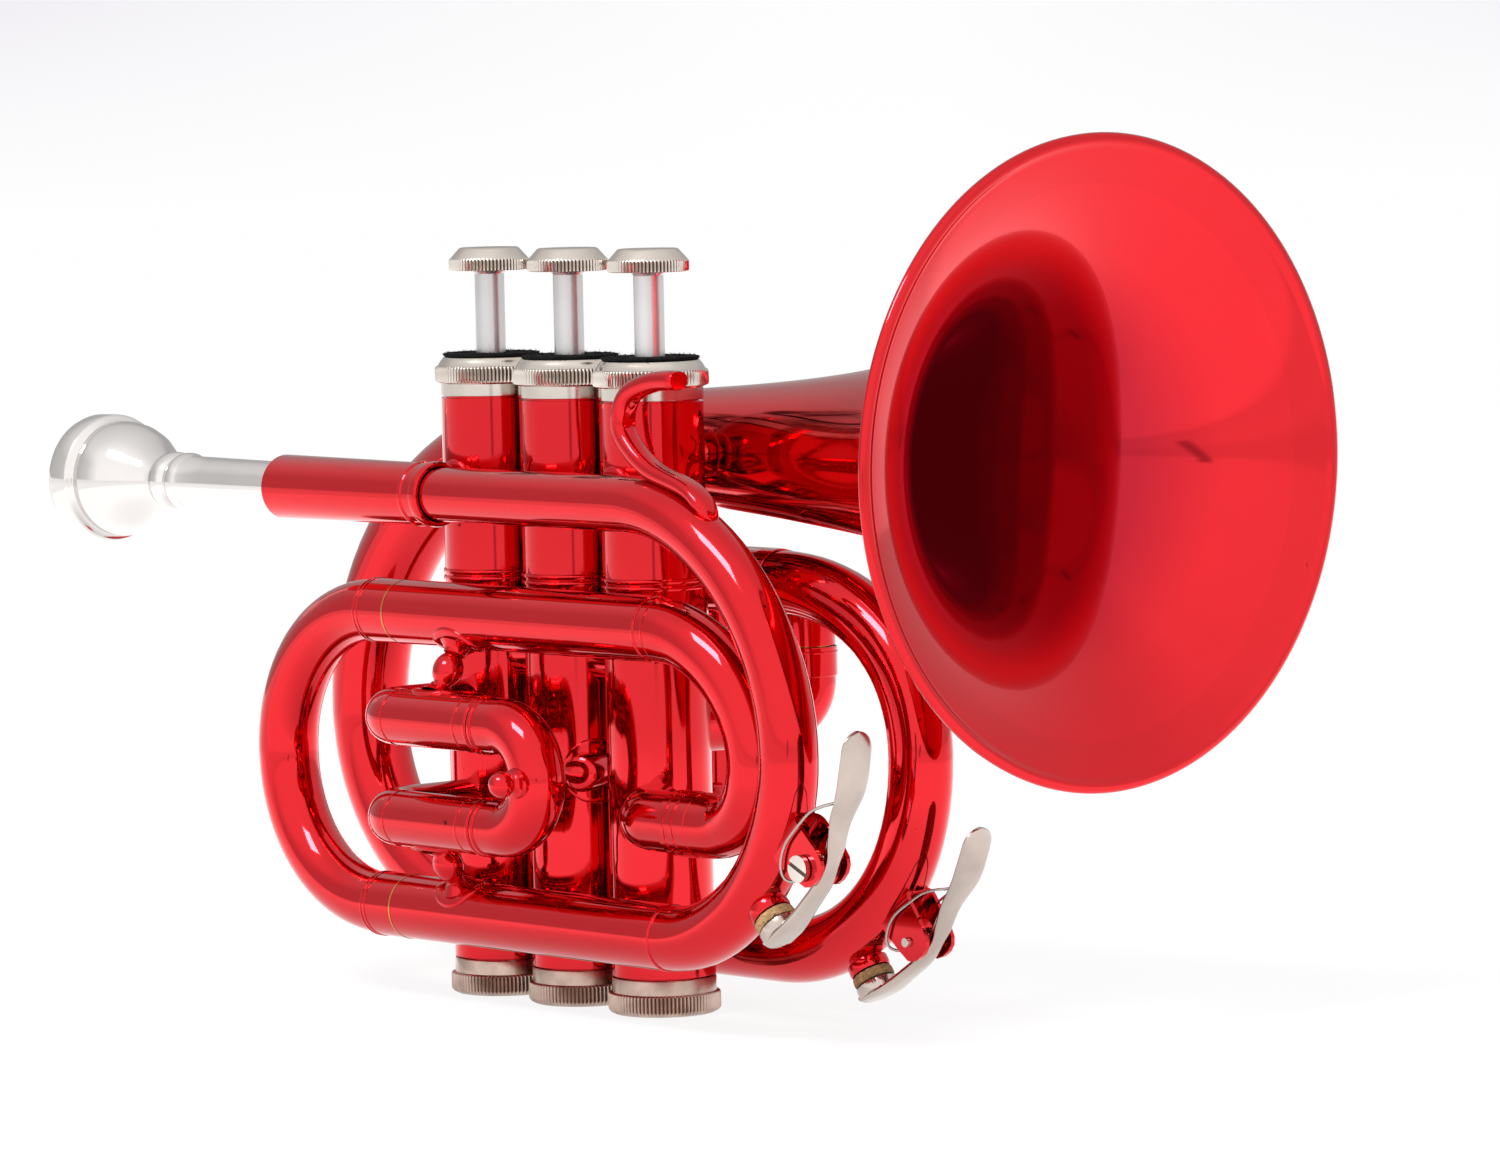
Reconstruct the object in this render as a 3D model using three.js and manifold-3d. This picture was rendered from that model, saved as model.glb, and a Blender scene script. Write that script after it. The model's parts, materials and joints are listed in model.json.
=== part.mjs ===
// Pocket trumpet with three piston valves, in millimetres.
// X runs from the player to the bell, Z runs up along the valves, and Y runs away from the leadpipe's side.
// The origin is on the second valve's axis, at the bottom face of its bottom cap.
import * as THREE from "three";
import { mergeVertices } from "three/addons/utils/BufferGeometryUtils.js";
import Module from "manifold-3d";

// Fits, walls and facets
const fit = 0.3;
const tubeWall = 0.6;
const beadHeight = 0.35;
const beadWidth = 1.2;
const overrun = 2;
const weldDistance = 0.001;
const tubeSides = 10;
const boreSides = 6;
const casingSides = 16;
const bellSides = 24;
const smallSides = 8;
const wireSides = 5;
const curlSteps = 8;
const bendSteps = 4;

// Valve block
const valvePitch = 25;
const casingRadius = 10.4;
const valveBore = 8.7;
const upperCasingBead = 86.6;
const lowerCasingBead = 85;
const casingTop = 122.1;
const casingThreadRadius = 9.5;
const casingThreadLength = 2.6;
const capSkirt = 3.1;

// Bottom caps
const bottomKnurlRadius = 11.23;
const bottomKnurlHeight = 4.1;
const bottomRound = 1.1;
const bottomFloor = 1.8;

// Top caps and the felts on them
const topKnurlRadius = 11.56;
const topKnurlHeight = 3.2;
const topBevelRadius = 9.6;
const topBevelHeight = 1.9;
const topPlate = 1.7;
const feltThickness = 0.7;

// Pistons, stems and finger buttons
const stroke = 15.5;
const pistonBottom = 27;
const pistonFloor = 90;
const pistonRecess = 8;
const barrelWall = 1;
const stemRadius = 2.95;
const stemTop = 147.1;
const guideWidth = 3.4;
const guideHeight = 2.5;
const guideBottom = 91.5;
const passageRadius = 4.2;
const passageHeights = [41, 57, 73];
const buttonRadius = 8.19;
const buttonHeight = 4.6;
const buttonKnurl = 2.1;
const buttonFlatRadius = 5.5;
const buttonDish = 0.4;

// Valve springs, wound in the barrels
const springRadius = 5.2;
const springWire = 0.45;
const springCurls = 4;

// Mouthpiece
const leadY = -21.8;
const leadZ = 103.2;
const mouthRimX = -132.35;
const mouthRimRadius = 13.4;
const mouthRimLength = 7.4;
const mouthCupRadius = 8.2;
const mouthCupDepth = 11;
const mouthCupShares = [[0.55, 0.8], [0.9, 0.4]];
const mouthThroatRadius = 1.85;
const mouthLength = 88.35;
const mouthShoulderShares = [[0.9, 0.165], [0.75, 0.214], [0.52, 0.262]];
const mouthWaistRadius = 5.4;
const mouthBeadRadius = 5.9;
const shankRadius = 5.2;
const shankEndRadius = 4.9;
const shankBore = 4;

// Receiver and leadpipe
const receiverStart = -66.3;
const receiverEnd = -15.6;
const receiverMouthRadius = 6.63;
const receiverEndRadius = 6.2;
const leadpipeRadius = 5.4;
const leadpipeOverlap = 10;
const leadpipeBore = 4.8;

// Outer bend, from the leadpipe down to the lower tuning sleeve
const slideY = -20;
const outerBendTopX = 42.84;
const outerBendApexX = 87.76;
const outerBendApexZ = 56.36;
const outerBendBottomX = 51.5;
const outerBendRadius = 6.1;
const outerHandleShares = [0.54, 0.52, 0.54, 0.5];

// Main tuning slide
const sleeveUpperZ = 78.85;
const sleeveLowerZ = 18.69;
const sleeveRadius = 6.53;
const sleeveStart = -29.6;
const upperSleeveEnd = 49.2;
const crookRadius = 6.2;
const crookFerrule = 9.5;
const crookApexX = -70.27;
const crookApexZ = 48.62;
const crookHandleShares = [0.55, 0.55, 0.57, 0.57];
const tuningLegLength = 55;

// Inner bow, from the upper tuning sleeve to the third valve's inlet
const innerBowApexX = 75.45;
const innerBowApexY = -18;
const innerBowApexZ = 53.84;
const innerBowBottomX = 60.27;
const inletX = 40.3;
const inletY = -16;
const inletZ = 40.8;
const inletFerruleEnd = 57.9;
const inletFerruleLength = 8.1;
const innerBowRadius = 6.1;
const innerBowHandleShares = [0.543, 0.53, 0.55, 0.55];
const inletBend = 7;

// Outlet tubing on the far side, from the first valve round to the bell
const outletY = 22;
const outletZ = 84.87;
const outletRadius = 6.38;
const outletBend = 7.5;
const rightBowTopX = 38.39;
const rightBowApexX = 78.05;
const rightBowApexZ = 52.2;
const rightBowBottomX = 37.02;
const rightBowHandleShares = [0.59, 0.6, 0.57, 0.56];
const bottomTubeZ = 11.06;
const bottomTubeRadius = 6.66;
const bellBowBottomX = -48.59;
const bellBowApexX = -98.96;
const bellBowApexZ = 52.07;
const bellBowTopX = -35.44;
const bellBowStartRadius = 7.04;
const bellBowEndRadius = 9.6;
const bellBowHandleShares = [0.55, 0.59, 0.56, 0.55];

// Bell
const bellY = 26;
const bellZ = 110.9;
const bellMouthX = 128.2;
const bellMouthRadius = 62.6;
const bellTailRadius = 9.9;
const bellFlareOffset = 9;
const bellSwell = 4;
const bellSwellDepth = 11;
const bellBead = 1.1;
const bellStationShares = [0.015, 0.04, 0.085, 0.15, 0.25, 0.42, 0.68, 1];

// First valve slide
const firstSlideY = -31;
const firstUpperZ = 58.8;
const firstLowerZ = 38.5;
const slideTubeRadius = 5.6;
const slideElbow = 6.4;
const firstSleeveEnd = 9.2;
const firstBeadX = 4.7;
const firstCrookStraight = 4.7;
const firstLegLength = 22;
const knobPost = 1.9;
const knobReach = 9.3;
const knobBall = 2.5;
const knobCollar = 2.9;

// Second valve slide
const secondLowerZ = 52;
const secondUpperZ = 66;
const secondTubeRadius = 5.2;
const secondHeading = 2.178;
const secondSleeveEnd = 19;
const secondCrookStraight = 2;
const secondLegLength = 7;

// Third valve slide
const thirdSlideY = 37;
const thirdFrontX = 27.5;
const thirdRearX = -3.4;
const thirdFrontZ = 57.3;
const thirdRearZ = 35;
const thirdTubeRadius = 6.3;
const thirdElbow = 6.6;
const thirdSleeveEnd = 70.6;
const thirdCrookTopZ = 83.8;
const thirdCrookBend = 8;
const thirdFrontLeg = 6;
const thirdRearLeg = 26;

// Braces, boss and connecting tubes between the casings
const saddleThickness = 0.9;
const postRadius = 1.6;
const braceBall = 3.2;
const saddleLengthHalf = 4.6;
const saddleWidthHalf = 5.2;
const upperBraceX = -12;
const lowerBraceX = -14;
const bossRadius = 4;
const bossHeading = -0.785;
const bossZ = 48;
const bossReach = 7;
const bossFlangeLength = 6.6;
const bossFlangeWidth = 5;
const linkRadius = 5;
const linkZ = 70;

// Finger hook on the outer bend
const hookX = 42.1;
const hookZ = 100.6;
const hookLength = 26.7;
const hookHeight = 27.1;
const hookThickness = 1.8;
const hookWidth = 2.5;
const hookShares = [[1, 0], [0.764, 0.207], [0.326, 0.347], [0.06, 0.542], [0, 0.697],
  [0.09, 0.882], [0.371, 0.978], [0.682, 1]];

// Water keys: a nipple and a saddle on the tube, and a sprung lever with a cork
const keyY = -20.9;
const keyX = 78.5;
const keyZ = 29.3;
const keyTilt = -0.785;
const farKeyX = 59.45;
const farKeyZ = 13.12;
const farKeyTilt = -0.992;
const nippleRadius = 4.1;
const nippleReach = 5.2;
const nippleBore = 1.3;
const corkRadius = 4.1;
const corkThickness = 2;
const cupRadius = 4.3;
const cupThickness = 2.4;
const pivotOut = 7.2;
const pivotAlong = 16.6;
const pivotRadius = 0.95;
const barrelRadius = 1.75;
const earGap = 2.9;
const earThickness = 0.9;
const earRadius = 3.7;
const earFoot = 4;
const screwHeadRadius = 2.6;
const screwHeadHeight = 1.2;
const screwSlot = 0.6;
const leverRise = 10.7;
const leverReach = 42;
const leverThickness = 1.3;
const leafWidth = 3.7;
const leverPathShares = [[0.9, -0.064], [0.981, 0.066], [1, 0.21], [0.981, 0.382], [0.8, 0.533],
  [0.536, 0.662], [0.35, 0.812], [0.053, 0.933], [-0.344, 1]];
const leafOutlineShares = [[-0.08, 0.65], [0.3, 0.62], [0.55, 0.58], [0.7, 0.78], [0.84, 1], [0.95, 0.88],
  [1.02, 0.35]];
const lugThickness = 1.1;
const keySpringRadius = 1.6;
const keySpringWire = 0.3;
const keySpringPitch = 1.1;
const keySpringCurls = 2;
const keySpringArm = 7;
const keySpringDrop = 2.6;

const wasm = await Module();
wasm.setup();

// Solids and booleans
function solidOf(geometry) {
  const bare = geometry.clone();
  bare.deleteAttribute("normal");
  bare.deleteAttribute("uv");
  const merged = mergeVertices(bare, weldDistance);
  return new wasm.Manifold(new wasm.Mesh({
    numProp: 3,
    vertProperties: merged.attributes.position.array,
    triVerts: new Uint32Array(merged.index.array),
  }));
}

function geometryOf(solid) {
  const mesh = solid.getMesh();
  const geometry = new THREE.BufferGeometry();
  geometry.setAttribute("position", new THREE.BufferAttribute(new Float32Array(mesh.vertProperties), 3));
  geometry.setIndex(new THREE.BufferAttribute(new Uint32Array(mesh.triVerts), 1));
  return geometry;
}

const cut = (geometry, ...tools) =>
  geometryOf(tools.reduce((solid, tool) => solid.subtract(solidOf(tool)), solidOf(geometry)));
const join = (geometry, ...others) =>
  geometryOf(others.reduce((solid, other) => solid.add(solidOf(other)), solidOf(geometry)));
const common = (geometry, ...others) =>
  geometryOf(others.reduce((solid, other) => solid.intersect(solidOf(other)), solidOf(geometry)));

// Forms
const point = (x, y, z) => new THREE.Vector3(x, y, z);
const polar = (heading, distance, z) => point(Math.cos(heading) * distance, Math.sin(heading) * distance, z);

function circle(radius, sides) {
  return Array.from({ length: sides }, (_, i) => {
    const angle = (2 * Math.PI * i) / sides;
    return new THREE.Vector2(Math.cos(angle) * radius, Math.sin(angle) * radius);
  });
}

// An outline of [radius, height] pairs, turned about Z
function revolve(outline, sides) {
  const points = outline.map(([radius, height]) => new THREE.Vector2(radius, height));
  if (THREE.ShapeUtils.area(points) < 0) points.reverse();
  if (points[0].x > 0 || points.at(-1).x > 0) points.push(points[0].clone());
  return new THREE.LatheGeometry(points, sides).rotateX(Math.PI / 2);
}

// The same, turned about a line along X at a given Y and Z
const revolveX = (outline, sides, y, z) => revolve(outline, sides).rotateY(Math.PI / 2).translate(0, y, z);

function rod(from, to, radius, sides = tubeSides) {
  const length = from.distanceTo(to);
  const turn = new THREE.Quaternion().setFromUnitVectors(point(0, 1, 0), to.clone().sub(from).normalize());
  const middle = from.clone().lerp(to, 0.5);
  return new THREE.CylinderGeometry(radius, radius, length, sides)
    .applyQuaternion(turn)
    .translate(...middle.toArray());
}

// A straight run through corners that are rounded to one bend radius
function route(corners, bend) {
  const path = new THREE.CurvePath();
  let last = corners[0];
  for (let i = 1; i < corners.length - 1; i++) {
    const before = corners[i - 1].clone().sub(corners[i]).normalize();
    const after = corners[i + 1].clone().sub(corners[i]).normalize();
    const turn = Math.PI - before.angleTo(after);
    const reach = bend * Math.tan(turn / 2);
    const handle = reach - (4 / 3) * Math.tan(turn / 4) * bend;
    const start = corners[i].clone().addScaledVector(before, reach);
    const end = corners[i].clone().addScaledVector(after, reach);
    path.add(new THREE.LineCurve3(last, start));
    path.add(new THREE.CubicBezierCurve3(start, corners[i].clone().addScaledVector(before, handle),
      corners[i].clone().addScaledVector(after, handle), end));
    last = end;
  }
  path.add(new THREE.LineCurve3(last, corners.at(-1)));
  return path;
}

// A bow from a top end along X, over an apex, to a bottom end along X
function bowPath(top, apex, bottom, shares) {
  const [fromTop, toApex, fromApex, toBottom] = shares;
  const path = new THREE.CurvePath();
  path.add(new THREE.CubicBezierCurve3(top,
    point(THREE.MathUtils.lerp(top.x, apex.x, fromTop), top.y, top.z),
    point(apex.x, apex.y, THREE.MathUtils.lerp(apex.z, top.z, toApex)), apex));
  path.add(new THREE.CubicBezierCurve3(apex,
    point(apex.x, apex.y, THREE.MathUtils.lerp(apex.z, bottom.z, fromApex)),
    point(THREE.MathUtils.lerp(bottom.x, apex.x, toBottom), bottom.y, bottom.z), bottom));
  return path;
}

function joined(...paths) {
  const path = new THREE.CurvePath();
  paths.forEach((part) => (part.curves ?? [part]).forEach((curve) => path.add(curve)));
  return path;
}

// A tube along a path; a bore of zero leaves it solid, and the end scale tapers it
function tube(path, outer, bore, steps, endScale = 1, sides = boreSides) {
  const section = new THREE.Shape(circle(outer, tubeSides));
  if (bore > 0) section.holes.push(new THREE.Path(circle(bore, sides)));
  const geometry = new THREE.ExtrudeGeometry(section, { steps, bevelEnabled: false, extrudePath: path });
  const stations = path.getSpacedPoints(steps);
  const positions = geometry.getAttribute("position");
  const vertex = new THREE.Vector3();
  for (let i = 0; i < positions.count && endScale !== 1; i++) {
    vertex.fromBufferAttribute(positions, i);
    const distances = stations.map((station) => station.distanceTo(vertex));
    const nearest = distances.indexOf(Math.min(...distances));
    const scale = THREE.MathUtils.lerp(1, endScale, nearest / steps);
    vertex.sub(stations[nearest]).multiplyScalar(scale).add(stations[nearest]);
    positions.setXYZ(i, vertex.x, vertex.y, vertex.z);
  }
  return geometry;
}

// The outline of a straight tube from one height to another, with raised beads on it
function pipeOutline(start, end, radius, bore, beads = []) {
  const outer = [[radius, start]];
  beads.forEach((middle) => outer.push([radius, middle - beadWidth / 2], [radius + beadHeight, middle],
    [radius, middle + beadWidth / 2]));
  outer.push([radius, end], [bore, end], [bore, start]);
  return outer;
}

// An oval plate that wraps a round body, seen along a direction square to the body's axis
function saddle(centre, axis, radius, direction, lengthHalf, widthHalf) {
  const reach = radius + fit + saddleThickness;
  const basis = new THREE.Matrix4().makeBasis(direction.clone().cross(axis), direction, axis);
  const oval = new THREE.CylinderGeometry(1, 1, reach, smallSides).scale(widthHalf, 1, lengthHalf)
    .translate(0, reach / 2, 0).applyMatrix4(basis).translate(...centre.toArray());
  const from = centre.clone().addScaledVector(axis, -lengthHalf - overrun);
  const to = centre.clone().addScaledVector(axis, lengthHalf + overrun);
  return cut(common(oval, rod(from, to, reach)), rod(from, to, radius + fit, casingSides));
}

// A post with a ball between two round bodies, on a saddle at each end
function brace(bodies, ballRadius) {
  const [first, second] = bodies;
  const direction = second.centre.clone().sub(first.centre).normalize();
  const start = first.centre.clone().addScaledVector(direction, first.radius);
  const end = second.centre.clone().addScaledVector(direction, -second.radius);
  const middle = start.clone().lerp(end, 0.5);
  const plates = bodies.map(({ centre, axis, radius }, i) =>
    saddle(centre, axis, radius, direction.clone().multiplyScalar(i ? -1 : 1), saddleLengthHalf, saddleWidthHalf));
  const ball = new THREE.SphereGeometry(ballRadius, smallSides, smallSides / 2).translate(...middle.toArray());
  const cutters = bodies.map(({ centre, axis, radius }) => rod(centre.clone().addScaledVector(axis, -sleeveStart),
    centre.clone().addScaledVector(axis, sleeveStart), radius + fit, casingSides));
  return cut(join(rod(start, end, postRadius, smallSides), ball, ...plates), ...cutters);
}

// A helix about Z, from one height to another, as points for one unbroken wire
function helix(radius, bottom, top, curls) {
  const steps = curls * curlSteps;
  return Array.from({ length: steps + 1 }, (_, i) => {
    const angle = (2 * Math.PI * curls * i) / steps;
    return point(radius * Math.cos(angle), radius * Math.sin(angle), THREE.MathUtils.lerp(bottom, top, i / steps));
  });
}

// A wire through points, one step to each point
function wire(points, radius) {
  const path = new THREE.CurvePath();
  points.slice(1).forEach((to, i) => path.add(new THREE.LineCurve3(points[i], to)));
  path.getSpacedPoints = () => points;
  path.getTangentAt = (share) => {
    const i = Math.round(share * (points.length - 1));
    const before = points[Math.max(i - 1, 0)];
    return points[Math.min(i + 1, points.length - 1)].clone().sub(before).normalize();
  };
  return new THREE.ExtrudeGeometry(new THREE.Shape(circle(radius, wireSides)),
    { steps: points.length - 1, bevelEnabled: false, extrudePath: path });
}

// The least gap between a wire's curls, measured between points more than half a curl apart
function leastGap(points, radius) {
  let least = Infinity;
  points.forEach((a, i) => points.slice(i + curlSteps / 2 + 1).forEach((b) => {
    least = Math.min(least, a.distanceTo(b) - 2 * radius);
  }));
  return least;
}

// Finishes
const finish = (color, metalness, roughness) => () => new THREE.MeshStandardMaterial({ color, metalness, roughness });
const red = finish(0xc8141e, 0.9, 0.12);
const nickel = finish(0xcfc8bb, 1, 0.25);
const satin = finish(0xb9b9bb, 0.8, 0.45);
const silver = finish(0xe3e4e6, 1, 0.12);
const felt = finish(0x151515, 0, 0.95);
const cork = finish(0xb98b52, 0, 0.85);
const steel = finish(0xa9a7a4, 1, 0.3);

const trumpet = new THREE.Group();

function add(name, geometry, material, group = trumpet) {
  const mesh = new THREE.Mesh(geometry, material());
  mesh.name = name;
  group.add(mesh);
  return mesh;
}

const alongX = point(1, 0, 0);
const alongZ = point(0, 0, 1);
const valveX = [-valvePitch, 0, valvePitch];
const casingBottom = bottomKnurlHeight + capSkirt;
const capBore = casingThreadRadius + fit;
const topKnurlZ = casingTop + capSkirt - fit;
const capTop = topKnurlZ + topKnurlHeight + topBevelHeight;
const capPlateZ = capTop - topPlate;
const barrelTop = capPlateZ - fit;
const pistonRadius = valveBore - fit;

// A casing's whole column, to cut what seats on it
const casingColumn = (x, radius = casingRadius) =>
  rod(point(x, 0, casingBottom), point(x, 0, casingTop), radius + fit, casingSides);

// Valves
function casing(x, ports) {
  const outline = [
    [valveBore, casingBottom - casingThreadLength], [casingThreadRadius, casingBottom - casingThreadLength],
    [casingThreadRadius, casingBottom + fit], [casingRadius, casingBottom + fit],
    [casingRadius, lowerCasingBead - beadWidth / 2], [casingRadius + beadHeight, lowerCasingBead],
    [casingRadius + beadHeight, upperCasingBead], [casingRadius, upperCasingBead + beadWidth / 2],
    [casingRadius, casingTop - fit], [casingThreadRadius, casingTop - fit],
    [casingThreadRadius, casingTop + casingThreadLength], [valveBore, casingTop + casingThreadLength],
  ];
  const guide = new THREE.BoxGeometry(guideWidth, 2 * casingThreadRadius, guideHeight)
    .translate(0, 0, guideBottom + guideHeight / 2);
  const drills = ports.map(({ heading, z, radius }) =>
    rod(point(0, 0, z), polar(heading, casingRadius + overrun, z), radius, boreSides));
  return cut(join(revolve(outline, casingSides), guide), ...drills).translate(x, 0, 0);
}

function topCap() {
  const outline = [
    [capBore, casingTop], [casingRadius, casingTop], [casingRadius, topKnurlZ], [topKnurlRadius, topKnurlZ],
    [topKnurlRadius, topKnurlZ + topKnurlHeight], [topBevelRadius, capTop], [stemRadius + fit, capTop],
    [stemRadius + fit, capPlateZ], [capBore, capPlateZ],
  ];
  return revolve(outline, casingSides);
}

function bottomCap() {
  const outline = [
    [0, 0], [bottomKnurlRadius - bottomRound, 0], [bottomKnurlRadius, bottomRound],
    [bottomKnurlRadius, bottomKnurlHeight], [casingRadius, bottomKnurlHeight], [casingRadius, casingBottom],
    [capBore, casingBottom], [capBore, bottomFloor], [0, bottomFloor],
  ];
  return revolve(outline, casingSides);
}

function piston() {
  const outline = [
    [0, pistonBottom + pistonRecess], [pistonRadius - barrelWall, pistonBottom + pistonRecess],
    [pistonRadius - barrelWall, pistonBottom], [pistonRadius, pistonBottom], [pistonRadius, barrelTop],
    [stemRadius, barrelTop], [stemRadius, stemTop], [0, stemTop],
  ];
  const hollow = rod(point(0, 0, pistonFloor), point(0, 0, barrelTop - barrelWall), pistonRadius - barrelWall);
  const slotBottom = guideBottom - fit;
  const slotHeight = guideHeight + stroke + 2 * fit;
  const slot = new THREE.BoxGeometry(guideWidth + 2 * fit, 2 * casingRadius, slotHeight)
    .translate(0, 0, slotBottom + slotHeight / 2);
  const passages = passageHeights.map((z, i) => {
    const heading = (i * Math.PI) / passageHeights.length;
    return rod(polar(heading, -casingRadius, z), polar(heading, casingRadius, z), passageRadius, boreSides);
  });
  return cut(revolve(outline, casingSides), hollow, slot, ...passages);
}

function fingerButton() {
  const bottom = stemTop + fit;
  const knurlBottom = bottom + buttonDish;
  const outline = [
    [0, bottom], [buttonRadius - buttonDish, bottom], [buttonRadius, knurlBottom],
    [buttonRadius, knurlBottom + buttonKnurl], [buttonFlatRadius, bottom + buttonHeight],
    [buttonFlatRadius - buttonDish, bottom + buttonHeight - buttonDish / 2], [0, bottom + buttonHeight - buttonDish],
  ];
  return revolve(outline, casingSides);
}

const springBottom = guideBottom + guideHeight + fit + springWire;
const springTop = barrelTop - barrelWall - fit - springWire;
const springPoints = helix(springRadius, springBottom, springTop, springCurls);
console.log("valve spring, least gap between curls:", leastGap(springPoints, springWire).toFixed(2), "mm");

const toAngle = (x, y) => Math.atan2(y, x);
const inletHeading = toAngle(inletX - valvePitch, inletY);
const thirdFrontHeading = toAngle(thirdFrontX - valvePitch, thirdSlideY);
const thirdRearHeading = toAngle(thirdRearX - valvePitch, thirdSlideY);
const port = (heading, z, radius) => ({ heading, z, radius: radius - tubeWall });
const casingPorts = [
  [port(-Math.PI / 2, firstUpperZ, slideTubeRadius), port(-Math.PI / 2, firstLowerZ, slideTubeRadius),
    port(Math.PI / 2, outletZ, outletRadius), port(0, linkZ, linkRadius)],
  [port(0, linkZ, linkRadius), port(Math.PI, linkZ, linkRadius),
    port(secondHeading, secondLowerZ, secondTubeRadius), port(secondHeading, secondUpperZ, secondTubeRadius)],
  [port(Math.PI, linkZ, linkRadius), port(inletHeading, inletZ, innerBowRadius),
    port(thirdFrontHeading, thirdFrontZ, thirdTubeRadius), port(thirdRearHeading, thirdRearZ, thirdTubeRadius)],
];

// The middle casing carries the boss and the short tubes to its two neighbours
function middleCasing() {
  const bossDirection = polar(bossHeading, 1, 0);
  const base = polar(bossHeading, casingRadius - 2 * fit, bossZ);
  const dome = casingRadius + bossReach;
  const boss = rod(base, polar(bossHeading, dome - bossRadius / 2, bossZ), bossRadius, smallSides);
  const cap = new THREE.SphereGeometry(bossRadius, smallSides, smallSides / 2).scale(1, 0.5, 1)
    .applyQuaternion(new THREE.Quaternion().setFromUnitVectors(point(0, 1, 0), bossDirection))
    .translate(...polar(bossHeading, dome - bossRadius / 2, bossZ).toArray());
  const flange = saddle(point(0, 0, bossZ), alongZ, casingRadius - 2 * fit, bossDirection,
    bossFlangeLength, bossFlangeWidth);
  const link = cut(rod(point(-valvePitch, 0, linkZ), point(valvePitch, 0, linkZ), linkRadius, smallSides),
    casingColumn(-valvePitch), casingColumn(valvePitch));
  const linkBore = rod(point(-valvePitch, 0, linkZ), point(valvePitch, 0, linkZ), linkRadius - tubeWall, boreSides);
  const well = rod(point(0, 0, casingBottom), point(0, 0, casingTop), valveBore, casingSides);
  const outside = cut(join(link, boss, cap, flange), well);
  return cut(join(casing(0, casingPorts[1]), outside), linkBore);
}

valveX.forEach((x, i) => {
  const number = i + 1;
  const place = (geometry) => geometry.translate(x, 0, 0);
  add(`valve_casing_${number}`, i === 1 ? middleCasing() : casing(x, casingPorts[i]), red);
  add(`bottom_cap_${number}`, place(bottomCap()), nickel);
  add(`top_cap_${number}`, place(topCap()), nickel);
  const feltOutline = pipeOutline(capTop + fit, capTop + fit + feltThickness, topBevelRadius, stemRadius + fit);
  add(`cap_felt_${number}`, place(revolve(feltOutline, casingSides)), felt);
  add(`piston_${number}`, place(piston()), satin);
  add(`finger_button_${number}`, place(fingerButton()), nickel);
  add(`valve_spring_${number}`, place(wire(springPoints, springWire)), steel);
});

// Mouthpiece and receiver
const mouthEnd = mouthRimX + mouthLength;

function mouthpiece() {
  const fromRim = (distance) => mouthRimX + distance;
  const waist = mouthRimLength + 3 * mouthCupDepth / 2;
  const outline = [
    [mouthCupRadius, fromRim(beadHeight)], [mouthCupRadius + 2 * beadWidth, mouthRimX],
    [mouthRimRadius - beadWidth, fromRim(beadHeight)], [mouthRimRadius, fromRim(beadWidth)],
    [mouthRimRadius, fromRim(mouthRimLength)], [mouthRimRadius - beadHeight, fromRim(mouthRimLength + beadWidth)],
    ...mouthShoulderShares.map(([wide, far]) => [mouthRimRadius * wide, fromRim(mouthLength * far)]),
    [mouthWaistRadius, fromRim(waist + 2 * beadWidth)],
    [mouthBeadRadius, fromRim(waist + 3 * beadWidth)], [mouthBeadRadius, fromRim(waist + 4 * beadWidth)],
    [mouthWaistRadius, fromRim(waist + 5 * beadWidth)], [mouthBeadRadius, fromRim(waist + 6 * beadWidth)],
    [mouthBeadRadius, fromRim(waist + 7 * beadWidth)], [mouthWaistRadius, fromRim(waist + 8 * beadWidth)],
    [shankRadius, receiverStart - mouthCupDepth], [shankEndRadius, mouthEnd], [shankBore, mouthEnd],
    [mouthThroatRadius, fromRim(2 * mouthCupDepth)], [mouthThroatRadius, fromRim(mouthCupDepth + beadWidth)],
    ...mouthCupShares.map(([wide, far]) => [mouthCupRadius * wide, fromRim(mouthCupDepth * far)]),
  ];
  return revolveX(outline, casingSides, leadY, leadZ);
}

function receiver() {
  const socket = leadpipeRadius + fit;
  const socketStart = receiverEnd - leadpipeOverlap - fit;
  const outline = [
    [receiverMouthRadius, receiverStart], [receiverEndRadius, receiverEnd - 4 * beadWidth],
    [receiverEndRadius + beadHeight, receiverEnd - 3 * beadWidth], [receiverEndRadius + beadHeight, receiverEnd],
    [socket, receiverEnd], [socket, socketStart], [leadpipeBore, socketStart], [leadpipeBore, mouthEnd + fit],
    [shankEndRadius + fit, mouthEnd + fit], [shankRadius + fit, receiverStart],
  ];
  return revolveX(outline, tubeSides, leadY, leadZ);
}

add("mouthpiece", mouthpiece(), silver);

// Leadpipe and outer bend
const outerBend = bowPath(point(outerBendTopX, leadY, leadZ),
  point(outerBendApexX, (leadY + slideY) / 2, outerBendApexZ),
  point(outerBendBottomX, slideY, sleeveLowerZ), outerHandleShares);
const leadpipeStart = point(receiverEnd - leadpipeOverlap, leadY, leadZ);
const leadpipePath = joined(new THREE.LineCurve3(leadpipeStart, outerBend.curves[0].v0), outerBend);
const leadpipeGrowth = outerBendRadius / leadpipeRadius;
add("leadpipe", tube(leadpipePath, leadpipeRadius, leadpipeRadius - tubeWall, 4 * bendSteps, leadpipeGrowth), red);
const leadpipeCutter = tube(leadpipePath, leadpipeRadius + fit, 0, 4 * bendSteps, leadpipeGrowth);

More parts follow.
